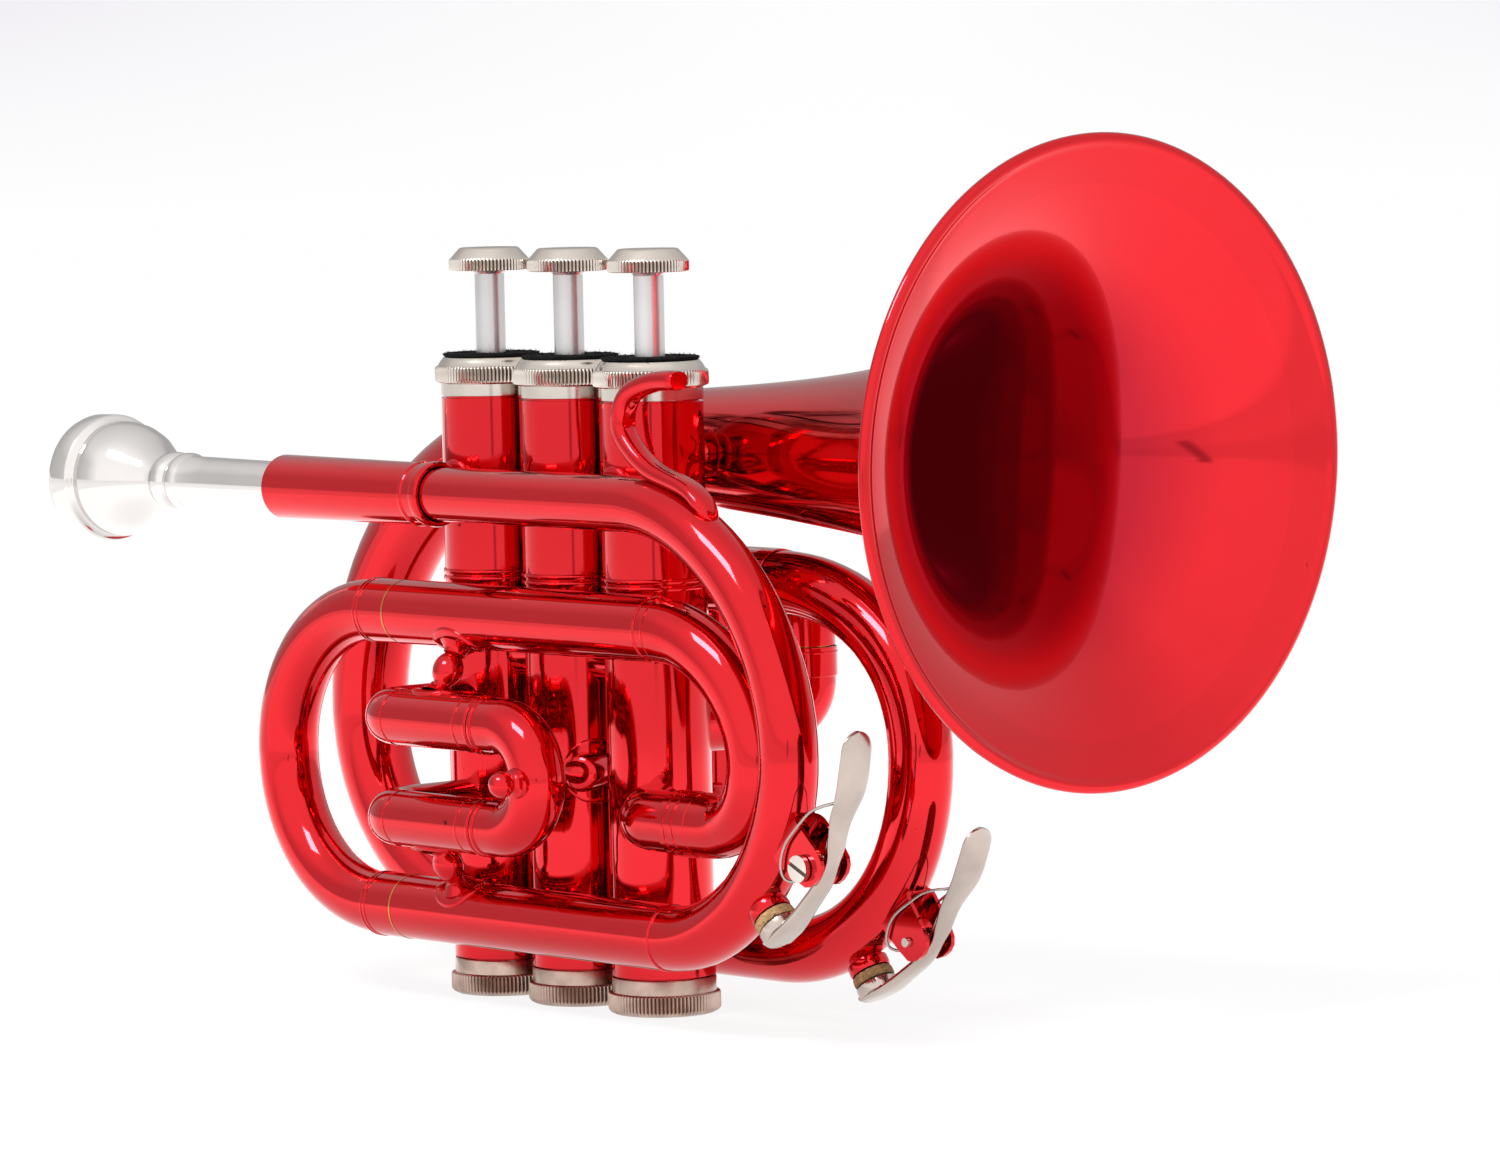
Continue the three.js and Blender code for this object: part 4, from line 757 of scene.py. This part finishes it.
loop = [vec(x, FIRST_Y, z) for x, z in ((start, FIRST_HIGH), (apex, FIRST_HIGH), (apex, FIRST_LOW),
                                        (start, FIRST_LOW))]
first = Form().add(sweep(route(loop, bend, 26), FIRST_R, 1.5))
for z in (FIRST_HIGH, FIRST_LOW):
    at = along_x(FIRST_Y, z)
    first.add(lathe(pipe(start, 10.7, 5.8, 1.4, rings=(10.2,)), 64, True), at)
    first.add(lathe([(4.7, 9.0), (4.7, -12.8), (4.1, -12.8), (4.1, 9.8), (4.7, 9.8)], 48, True), at, 1)
KNOB_R, KNOB_OUT = 2.65, 3.75
knob = [(3.3, -0.9), (3.1, 0.2), (2.9, 0.75), (2.2, 0.95), (1.75, 1.3), (1.6, 1.7)]
knob += [(KNOB_R * math.cos(t), KNOB_OUT + KNOB_R * math.sin(t))
         for t in (math.radians(a) for a in range(-50, 86, 9))]
knob_spot = Matrix.Translation((apex, FIRST_Y - 5.2, FIRST_LOW + bend))
first.add(lathe(knob, 40), knob_spot @ Matrix.Rotation(math.pi / 2, 4, "X"))
piece("first_crook_smooth", first, "first_slide", second=brass)

for label, z in zip(("upper", "lower"), SECOND_LEVELS):
    turn = Matrix.Translation(AZ * z) @ Matrix.Rotation(SECOND_HEADING, 4, "Z")
    turn = turn @ Matrix.Rotation(math.pi / 2, 4, "Y")
    sleeve = Form().add(lathe(pipe(9.0, 19, SECOND_R, rings=(17.8,)), 56, True), turn)
    piece(f"second_sleeve_{label}_smooth", sleeve, f"second_slide_sleeve_{label}")
out = turned(1, SECOND_HEADING)
high, low = (AZ * z for z in SECOND_LEVELS)
second = Form().add(sweep(route([out * 19.3 + high, out * 28.3 + high, out * 28.3 + low, out * 19.3 + low],
                                7, 20), SECOND_R, 1.5))
for level in (high, low):
    second.add(sweep([out * 12 + level, out * 19.8 + level], 4.3), slot=1)
piece("second_crook_smooth", second, "second_slide", second=brass)

for label, x, z in (("front", THIRD_FRONT_X, 57.3), ("rear", THIRD_REAR_X, 35)):
    corner = vec(x, THIRD_Y, z)
    path = route([from_wall(corner), corner, vec(x, THIRD_Y, THIRD_END)], 6.6)
    sleeve = Form().add(sweep(path, THIRD_R, seat=SEAT))
    sleeve.add(lathe(pipe(64.6, THIRD_END, 6.6, 0.9, rings=(69.5,)), 64, True),
               Matrix.Translation((x, THIRD_Y, 0)))
    piece(f"third_sleeve_{label}_smooth", sleeve, f"third_slide_sleeve_{label}")
loop = [vec(x, THIRD_Y, z) for x, z in ((THIRD_FRONT_X, THIRD_END + FIT), (THIRD_FRONT_X, THIRD_TOP),
                                        (THIRD_REAR_X, THIRD_TOP), (THIRD_REAR_X, THIRD_END + FIT))]
third = Form().add(sweep(route(loop, 8, 20), THIRD_R, 1.5))
for x, length in ((THIRD_FRONT_X, 6), (THIRD_REAR_X, 26)):
    third.add(sweep([vec(x, THIRD_Y, THIRD_END + 2 * FIT), vec(x, THIRD_Y, THIRD_END - length)], 5.4), slot=1)
piece("third_crook_smooth", third, "third_slide", second=brass)

for label, x, leg_z, tube_z in (("upper", -9.4, FIRST_HIGH, SLEEVE_TOP_Z),
                                ("lower", -10.8, FIRST_LOW, SLEEVE_LOW_Z)):
    form = Form()
    leg, tube = (vec(x, FIRST_Y, leg_z), AX, FIRST_R), (vec(x, SLIDE_Y, tube_z), AX, SLEEVE_R)
    brace(form, leg, tube, ball=3.1, neck=1.95)
    piece(f"slide_brace_{label}_smooth", form, f"slide_brace_{label}", sharp=50)

# Finger hook, with its path as shares of its length and height
HOOK_X, HOOK_Z, HOOK_LENGTH, HOOK_HEIGHT = 42.1, 100.6, 26.7, 27.1
hook_shares = [(1, 0), (0.764, 0.207), (0.326, 0.347), (0.06, 0.542), (0, 0.697), (0.09, 0.882),
               (0.36, 0.978), (0.64, 0.995)]
hook_path = spline([vec(HOOK_X + a * HOOK_LENGTH, LEAD_Y, HOOK_Z + b * HOOK_HEIGHT) for a, b in hook_shares],
                   6)
last = len(hook_path) - 1
ends = [min(1, math.sqrt((i + 0.1) / 4)) * (0.86 if i == last else 1) for i in range(last + 1)]
widths = [lerp(2.9, 2.55, min(i / 10, 1)) * end for i, end in enumerate(ends)]
depths = [lerp(1.3, 1.95, min(i / 12, 1)) * end for i, end in enumerate(ends)]
hook = Form().add(ribbon(hook_path, widths, depths, 2.5))
piece("finger_hook_smooth", hook, "finger_hook", sharp=60)

# Water keys, each in a frame with X out of its tube, Y across and Z along the tube
PIVOT_OUT, PIVOT_ALONG = 7.2, 16.6
SADDLE_ENDS, EAR_Y, EAR_THICKNESS = (11.7, 21.6), 3.35, 0.9
FOLD_OUT, FOLD_Y, FOLD_RADII = 0.2, 1.8, (2.0, 1.1)
HEAD_R, SLOT_HALF, SLOT_TURN = 2.6, 0.4, 110
LEVER_OUT, LEVER_LENGTH, LEAF_R, ROUND_END = 10.7, 42, 3.75, 3.6
CORK_SIDES, WIRE_R = 48, 0.3
# Along the lever: path as (out, along), half width as (along, share), half thickness as (along, mm)
lever_shares = [(0.9, -0.064), (0.981, 0.066), (1, 0.21), (0.981, 0.382), (0.8, 0.533), (0.536, 0.662),
                (0.35, 0.812), (0.05, 0.94), (-0.26, 1.05)]
leaf_shares = [(-0.08, 1.0), (0.03, 0.96), (0.1, 0.84), (0.2, 0.66), (0.35, 0.56), (0.5, 0.52), (0.6, 0.6),
               (0.7, 0.8), (0.8, 0.97), (0.88, 1.03), (1.0, 1.0)]
depth_shares = [(-0.08, 0.7), (0.1, 1.0), (0.35, 1.15), (0.5, 1.0), (0.7, 0.65), (1.0, 0.45)]


def key_frame(x, y, z, tilt):
    """A frame with X out of a tube at a tilt, and Z along the tube."""
    out, along = vec(math.cos(tilt), 0, math.sin(tilt)), vec(-math.sin(tilt), 0, math.cos(tilt))
    return Matrix(((out.x, 0, along.x, x), (0, 1, 0, y), (out.z, 0, along.z, z), (0, 0, 0, 1)))


def value_at(pairs, share):
    """The value at a share, between pairs of (share, value)."""
    for (a, first), (b, second) in zip(pairs, pairs[1:]):
        if share <= b:
            return lerp(first, second, max(0.0, (share - a) / (b - a)))
    return pairs[-1][1]


def half_moon(side, low=4.7, high=5.2, steps=14):
    """Half of the screw's head beside its slot."""
    reach = math.acos(SLOT_HALF / HEAD_R)
    arc = [vec(side * HEAD_R * math.cos(t), HEAD_R * math.sin(t), 0)
           for t in (lerp(-reach, reach, i / steps) for i in range(steps + 1))]
    return stack([[p + AZ * low for p in arc], [p + AZ * high for p in arc]])


def water_key(number, spot, side):
    """Nipple, cork, saddle, screw, lever and spring in their frame. The screw's head is on that side."""
    node = f"water_key_{number}"
    outwards = spot @ Matrix.Rotation(math.pi / 2, 4, "Y")
    pivot = spot @ Matrix.Translation((PIVOT_OUT, 0, PIVOT_ALONG))
    nipple = lathe([(3.9, -1.5), (3.2, 0.4), (2.95, 1.4), (3.1, 2.1), (3.7, 2.7), (4.1, 3.0), (4.2, 3.3),
                    (4.2, 4.8), (4.0, 5.2), (1.3, 5.2), (1.3, -1.5)], 48, True)
    piece(f"key_{number}_nipple_smooth", Form().add(nipple, outwards), f"{node}_nipple")
    rng = random.Random(40 + number)
    cork = [[vec(q * (1 + rng.uniform(-0.012, 0.012)) * math.cos(t), q * math.sin(t),
                 h + rng.uniform(-0.05, 0.05))
             for t in (2 * math.pi * i / CORK_SIDES for i in range(CORK_SIDES))]
            for q, h in ((0.3, 5.5), (4.0, 5.55), (4.15, 5.8), (4.2, 6.5), (4.15, 7.2), (4.0, 7.45),
                         (0.3, 7.5))]
    piece(f"key_{number}_cork_soft", Form().add(stack(cork, True), outwards), f"{node}_cork", slot="cork")

    # Saddle: a strip folded up on both sides into two ears, which hold the screw
    ear = [(0.2, 11.7), (2.8, 12.0), (7.0, 13.3), (10.2, 14.5), (11.1, 15.6), (11.5, 17.2), (11.4, 19.2),
           (10.7, 20.7), (9.4, 21.6), (7.0, 21.9), (0.2, 21.6)]
    saddle = Form()
    for hand in (-1, 1):
        lift = spot @ Matrix(((1, 0, 0, 0), (0, 0, hand, hand * EAR_Y), (0, 1, 0, 0), (0, 0, 0, 1)))
        saddle.add(plate(ear, EAR_THICKNESS), lift)
        rings = []
        for along in SADDLE_ENDS:
            outer, inner = ([vec(FOLD_OUT - r * math.sin(t), hand * (FOLD_Y + r * math.cos(t)), along)
                             for t in (math.radians(a) for a in range(0, 91, 15))] for r in FOLD_RADII)
            rings.append(outer + inner[::-1])
        saddle.add(stack(rings), spot)
    base = [(-4.0, -2.2), (-0.9, -2.2), (-0.9, 2.2), (-4.0, 2.2)]
    saddle.add(stack([[vec(o, y, along) for o, y in base] for along in SADDLE_ENDS]), spot)
    piece(f"key_{number}_saddle_smooth", saddle, f"{node}_saddle")

    head = [(0.2, -4.6), (0.9, -4.6), (0.95, -4.5), (0.95, 4.0), (2.45, 4.0), (HEAD_R, 4.1), (HEAD_R, 4.75),
            (0.2, 4.76)]
    turn = pivot @ Matrix.Rotation(-side * math.pi / 2, 4, "X")
    turn = turn @ Matrix.Rotation(math.radians(SLOT_TURN), 4, "Z")
    screw = Form().add(lathe(head, 40), turn)
    for hand in (-1, 1):
        screw.add(half_moon(hand), turn)
    # A thin plate at the bottom of the slot, in the grooves' painted shade, paints the slot's shade.
    slot = [(a * SLOT_HALF, b * 2.5) for a, b in ((-1, -1), (1, -1), (1, 1), (-1, 1))]
    screw.add(plate(slot, 0.06), turn @ Matrix.Translation((0, 0, 4.79)), 1)
    piece(f"key_{number}_screw_smooth", screw, f"{node}_screw", slot="nickel", second=painted_groove_shade)

    # Lever: a leaf with a round end, the cork's cup, a lug and the hinge tube round the screw
    spine = spline([vec(o * LEVER_OUT, 0, a * LEVER_LENGTH) for o, a in lever_shares])
    tip = spine[-1]
    spine = spine[:-4] + [spine[-5].lerp(tip, t) for t in (0.2, 0.4, 0.55, 0.7, 0.8, 0.88, 0.94, 0.98, 1.0)]
    widths = []
    for point in spine:
        left = max(0.0, 1 - (tip - point).length / ROUND_END)
        half = LEAF_R * value_at(leaf_shares, point.z / LEVER_LENGTH)
        widths.append(half * math.sqrt(max(0.004, 1 - left * left)))
    depths = [value_at(depth_shares, point.z / LEVER_LENGTH) for point in spine]
    lever = Form().add(ribbon(spine, widths, depths, 2.8), spot)
    holder = [(0.3, 7.8), (4.1, 7.8), (4.3, 8.0), (4.3, 9.7), (4.15, 9.95), (3.2, 10.15), (0.3, 10.3)]
    lever.add(lathe(holder, 48), outwards)
    lug = plate([(7.2, 14.85), (10.1, 14.6), (10.1, 18.6), (7.2, 18.35)], 1.1)
    lever.add(lug, spot @ Matrix.Translation((0, side * 2.05, 0)) @ Matrix.Rotation(math.pi / 2, 4, "X"))
    lever.add(lathe([(1.25, -2.55), (1.75, -2.55), (1.75, -0.5), (1.25, -0.5)], 32, True),
              pivot @ Matrix.Rotation(side * math.pi / 2, 4, "X"))
    made = piece(f"key_{number}_lever_smooth", lever, f"{node}_lever", slot="nickel", sharp=40)
    # The levers take the darker copy of the nickel, painted shade.
    made.data.materials[0] = lever_nickel_painted_darker

    # Spring: turns about the screw, and on each side an arm round the ear up to the lever
    arm = [(3.3, 31.2, 0.3), (3.0, 30.2, 1.4), (2.2, 28.6, 2.9), (1.5, 26.2, 4.1), (1.3, 22.0, 4.45),
           (1.2, 18.2, 4.45), (1.5, 16.2, 4.45), (2.3, 14.2, 4.45), (3.6, 12.5, 4.4), (4.9, 11.5, 4.0),
           (6.0, 11.4, 3.2), (7.0, 12.6, 2.4), (7.2, 14.5, 2.3)]
    leg = [(8.6, 19.5, 1.2), (7.3, 22.5, 1.2), (5.3, 26.4, 1.2), (3.6, 30.0, 1.0), (3.2, 31.0, 0.3)]
    wound = Form()
    for hand in (-1, 1):
        coil = helix(2.1, 0, 0.9 if hand == side else 2.0, 3)
        turns = [vec(PIVOT_OUT - p.y, hand * (2.3 - p.z), PIVOT_ALONG - p.x) for p in coil]
        outer, inner = ([vec(o, hand * y, a) for o, a, y in bent] for bent in (arm, leg))
        for wire in (spline(outer, 5), turns, spline([turns[-1]] + inner, 5)):
            wound.add(sweep(wire, WIRE_R, 0, 8), spot)
    pressed = [tuple(spot @ vec(5.0, 0, a) * MM) for a in (20.0, 30.0)]
    piece(f"key_{number}_spring_wound", wound, f"{node}_spring", slot="spring_steel",
          across=(body_of[f"{node}_lever"], *pressed))


water_key(1, key_frame(78.5, -20.9, 29.3, -0.785), -1)
water_key(2, key_frame(59.45, 22, 13.12, -0.992), 1)

# Boss on the middle casing: a knob that leans on an oval leaf
BOSS_Z, BOSS_PLACE, BOSS_WAY = 47.5, math.radians(-21), math.radians(-66)
foot = turned(1, BOSS_PLACE)
boss = Form().add(ogee(6.6, 6.8, CASING_R, 0.5, power=0.5), place(AZ * BOSS_Z, foot, AZ))
way = turned(1, BOSS_WAY)
turn = Matrix.Translation(foot * 9.6 + AZ * BOSS_Z) @ way.to_track_quat("Z", "Y").to_matrix().to_4x4()
knob = [(3.8, -3.0), (3.75, 6.2), (3.65, 6.6), (3.3, 6.9), (2.6, 7.3), (1.5, 7.6), (0.3, 7.7)]
boss.add(lathe(knob, 48), turn)
piece("casing_2_boss_smooth", boss, body="horn")

# Camera: placed where the photo was taken, with the focal length in pixels of the photo
AZIMUTH, ELEVATION, ROLL, FOCAL = 0.855, 0.074, -0.022, 6989.9
PHOTO_WIDTH, SENSOR = 1500, 36
eye = vec(1082.12, -894.40, 187.95)
ahead = vec(-math.sin(AZIMUTH) * math.cos(ELEVATION), math.cos(AZIMUTH) * math.cos(ELEVATION),
            -math.sin(ELEVATION))
right = turned(1, AZIMUTH)
up = right.cross(ahead)
right, up = (right * math.cos(ROLL) + up * math.sin(ROLL), up * math.cos(ROLL) - right * math.sin(ROLL))
camera = bpy.data.objects.new("Camera", bpy.data.cameras.new("Camera"))
camera.data.sensor_width = SENSOR
camera.data.lens = FOCAL * SENSOR / PHOTO_WIDTH
camera.data.clip_start, camera.data.clip_end = 0.01, 100
axes = Matrix((right, up, -ahead)).transposed().to_4x4()
camera.matrix_world = Matrix.Translation(eye * MM) @ axes
scene.collection.objects.link(camera)
scene.camera = camera
scene.view_settings.view_transform = "Standard"

# Lamp
LAMP_SPOT, LAMP_TARGET = vec(0.08, -0.92, 1.26), vec(0, 0, 0.08)
lamp = bpy.data.lights.new("Key", "AREA")
lamp.shape = "RECTANGLE"
lamp.size, lamp.size_y = 0.6, 0.36
lamp.energy = 19
key_lamp = bpy.data.objects.new("Key", lamp)
aim = (LAMP_TARGET - LAMP_SPOT).to_track_quat("-Z", "Y").to_matrix().to_4x4()
key_lamp.matrix_world = Matrix.Translation(LAMP_SPOT) @ aim
scene.collection.objects.link(key_lamp)

# The room in reflections: its light, how much of that is missing behind the mouthpiece, and a camera stand
ROOM_LIGHT, ROOM_DIP = 2.0, 0.62
STAND_HEADING, STAND_HALF, STAND_TOP, STAND_FOOT = math.radians(-42), 0.045, 0.02, 0.85


def stripe_of(tree, colour, direction):
    """A colour with the dark upright line of the camera stand across it."""
    beside = dot_of(tree, direction, (-math.sin(STAND_HEADING), math.cos(STAND_HEADING), 0))
    before = dot_of(tree, direction, (math.cos(STAND_HEADING), math.sin(STAND_HEADING), 0))
    mask = ramp_of(tree, math_of(tree, "ABSOLUTE", beside),
                   [(STAND_HALF * 0.5, 1.0), (STAND_HALF * 1.5, 0.0)])
    front = math_of(tree, "GREATER_THAN", before, 0.8)
    below = math_of(tree, "LESS_THAN", dot_of(tree, direction, (0, 0, 1)), STAND_TOP)
    factor = math_of(tree, "MULTIPLY", math_of(tree, "MULTIPLY", mask, front), below)
    return mix_of(tree, factor, colour, (0.3, 0.3, 0.31))


# Floor: white to the camera, and to reflections a bright table with an edge, with a painted shadow under the
# part
TABLE_R, FLOOR_R, FLOOR_Z, FLOOR_SIDES = 0.52, 8.0, -0.0002, 64
floor_mesh = bpy.data.meshes.new("Floor")
rim = [2 * math.pi * i / FLOOR_SIDES for i in range(FLOOR_SIDES)]
floor_mesh.from_pydata([turned(FLOOR_R, t, FLOOR_Z) for t in rim], [], [tuple(range(FLOOR_SIDES))])
floor = bpy.data.objects.new("Floor", floor_mesh)
scene.collection.objects.link(floor)
floor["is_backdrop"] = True
pale = bpy.data.materials.new("Pale floor")
pale.use_nodes = True
tree = pale.node_tree
shader = tree.nodes["Principled BSDF"]
for socket, value in (("Base Color", (0.88, 0.87, 0.88, 1)), ("Roughness", 0.9), ("Specular IOR Level", 0.0)):
    shader.inputs[socket].default_value = value
where = tree.nodes.new("ShaderNodeTexCoord").outputs["Object"]
away = vector_of(tree, "LENGTH", where)
# Painted shadow: the glow seen in reflections darkens towards the part's middle.
table_and_painted_shadow = ramp_of(tree, math_of(tree, "MULTIPLY", away, 0.5),
                [(0.0, 0.40), (0.05, 0.66), (0.09, 0.80), (TABLE_R / 2, 0.80), (TABLE_R / 2 + 0.03, 0.66),
                 (0.5, 0.68), (0.6, 0.65), (0.75, 0.61), (1.0, 0.62)])
striped = stripe_of(tree, table_and_painted_shadow, vector_of(tree, "NORMALIZE", where, "Vector"))
glow = tree.nodes.new("ShaderNodeEmission")
glow.inputs["Strength"].default_value = ROOM_LIGHT
beyond = math_of(tree, "GREATER_THAN", away, STAND_FOOT)
tree.links.new(mix_of(tree, beyond, table_and_painted_shadow, striped), glow.inputs["Color"])
white = tree.nodes.new("ShaderNodeEmission")
rays = tree.nodes.new("ShaderNodeLightPath")
seen = shader_mix(tree, 0.88, shader.outputs["BSDF"], white.outputs["Emission"])
mirrored = shader_mix(tree, rays.outputs["Is Glossy Ray"], shader.outputs["BSDF"], glow.outputs["Emission"])
tree.links.new(shader_mix(tree, rays.outputs["Is Camera Ray"], mirrored, seen),
               tree.nodes["Material Output"].inputs["Surface"])
floor_mesh.materials.append(pale)

# World: bright in front of the part and dimmer behind it, and to the camera a white wall whose grey corners
# are painted shade
BRIGHT_HEADING = math.radians(-50)
world = bpy.data.worlds.new("Studio")
scene.world = world
world.use_nodes = True
tree = world.node_tree
tree.nodes.clear()
output = tree.nodes.new("ShaderNodeOutputWorld")
rays = tree.nodes.new("ShaderNodeLightPath")
where = tree.nodes.new("ShaderNodeTexCoord").outputs["Generated"]
facing = dot_of(tree, where, (math.cos(BRIGHT_HEADING), math.sin(BRIGHT_HEADING), 0))
height = dot_of(tree, where, (0, 0, 1))
tone = ramp_of(tree, math_of(tree, "MULTIPLY_ADD", facing, 0.5, 0.5),
               [(0.0, 0.34), (0.18, 0.43), (0.33, 0.49), (0.5, 0.55), (0.67, 0.68), (1.0, 0.74)])
room = tree.nodes.new("ShaderNodeBackground")
behind = ramp_of(tree, dot_of(tree, where, (-1, 0, 0)), [(0.2, 0.0), (0.55, 1.0)])
raised = ramp_of(tree, height, [(0.0, 1.0), (0.42, 0.9), (0.62, 0.1), (0.7, 0.0)])
dimmed = math_of(tree, "MULTIPLY_ADD", math_of(tree, "MULTIPLY", behind, raised), -ROOM_DIP, ROOM_LIGHT)
tree.links.new(dimmed, room.inputs["Strength"])
tree.links.new(stripe_of(tree, tone, where), room.inputs["Color"])
# Painted shade: the wall greys towards its sides above the horizon.
aside = dot_of(tree, where, (right.x, right.y, 0))
corner = ramp_of(tree, math_of(tree, "MULTIPLY_ADD", aside, 4.5, 0.5),
                 [(0.0, 1.0), (0.22, 0.55), (0.5, 0.12), (0.62, 0.1), (0.8, 0.4), (1.0, 0.75)])
fade = ramp_of(tree, math_of(tree, "MULTIPLY_ADD", height, 25, 0.75), [(0.25, 0.0), (0.6, 0.35), (1.0, 1.0)])
wall = tree.nodes.new("ShaderNodeBackground")
tree.links.new(mix_of(tree, math_of(tree, "MULTIPLY", corner, fade), (1, 1, 1), (0.885, 0.865, 0.905)),
               wall.inputs["Color"])
seen = shader_mix(tree, rays.outputs["Is Camera Ray"], room.outputs["Background"], wall.outputs["Background"])
tree.links.new(seen, output.inputs["Surface"])

low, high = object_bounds()
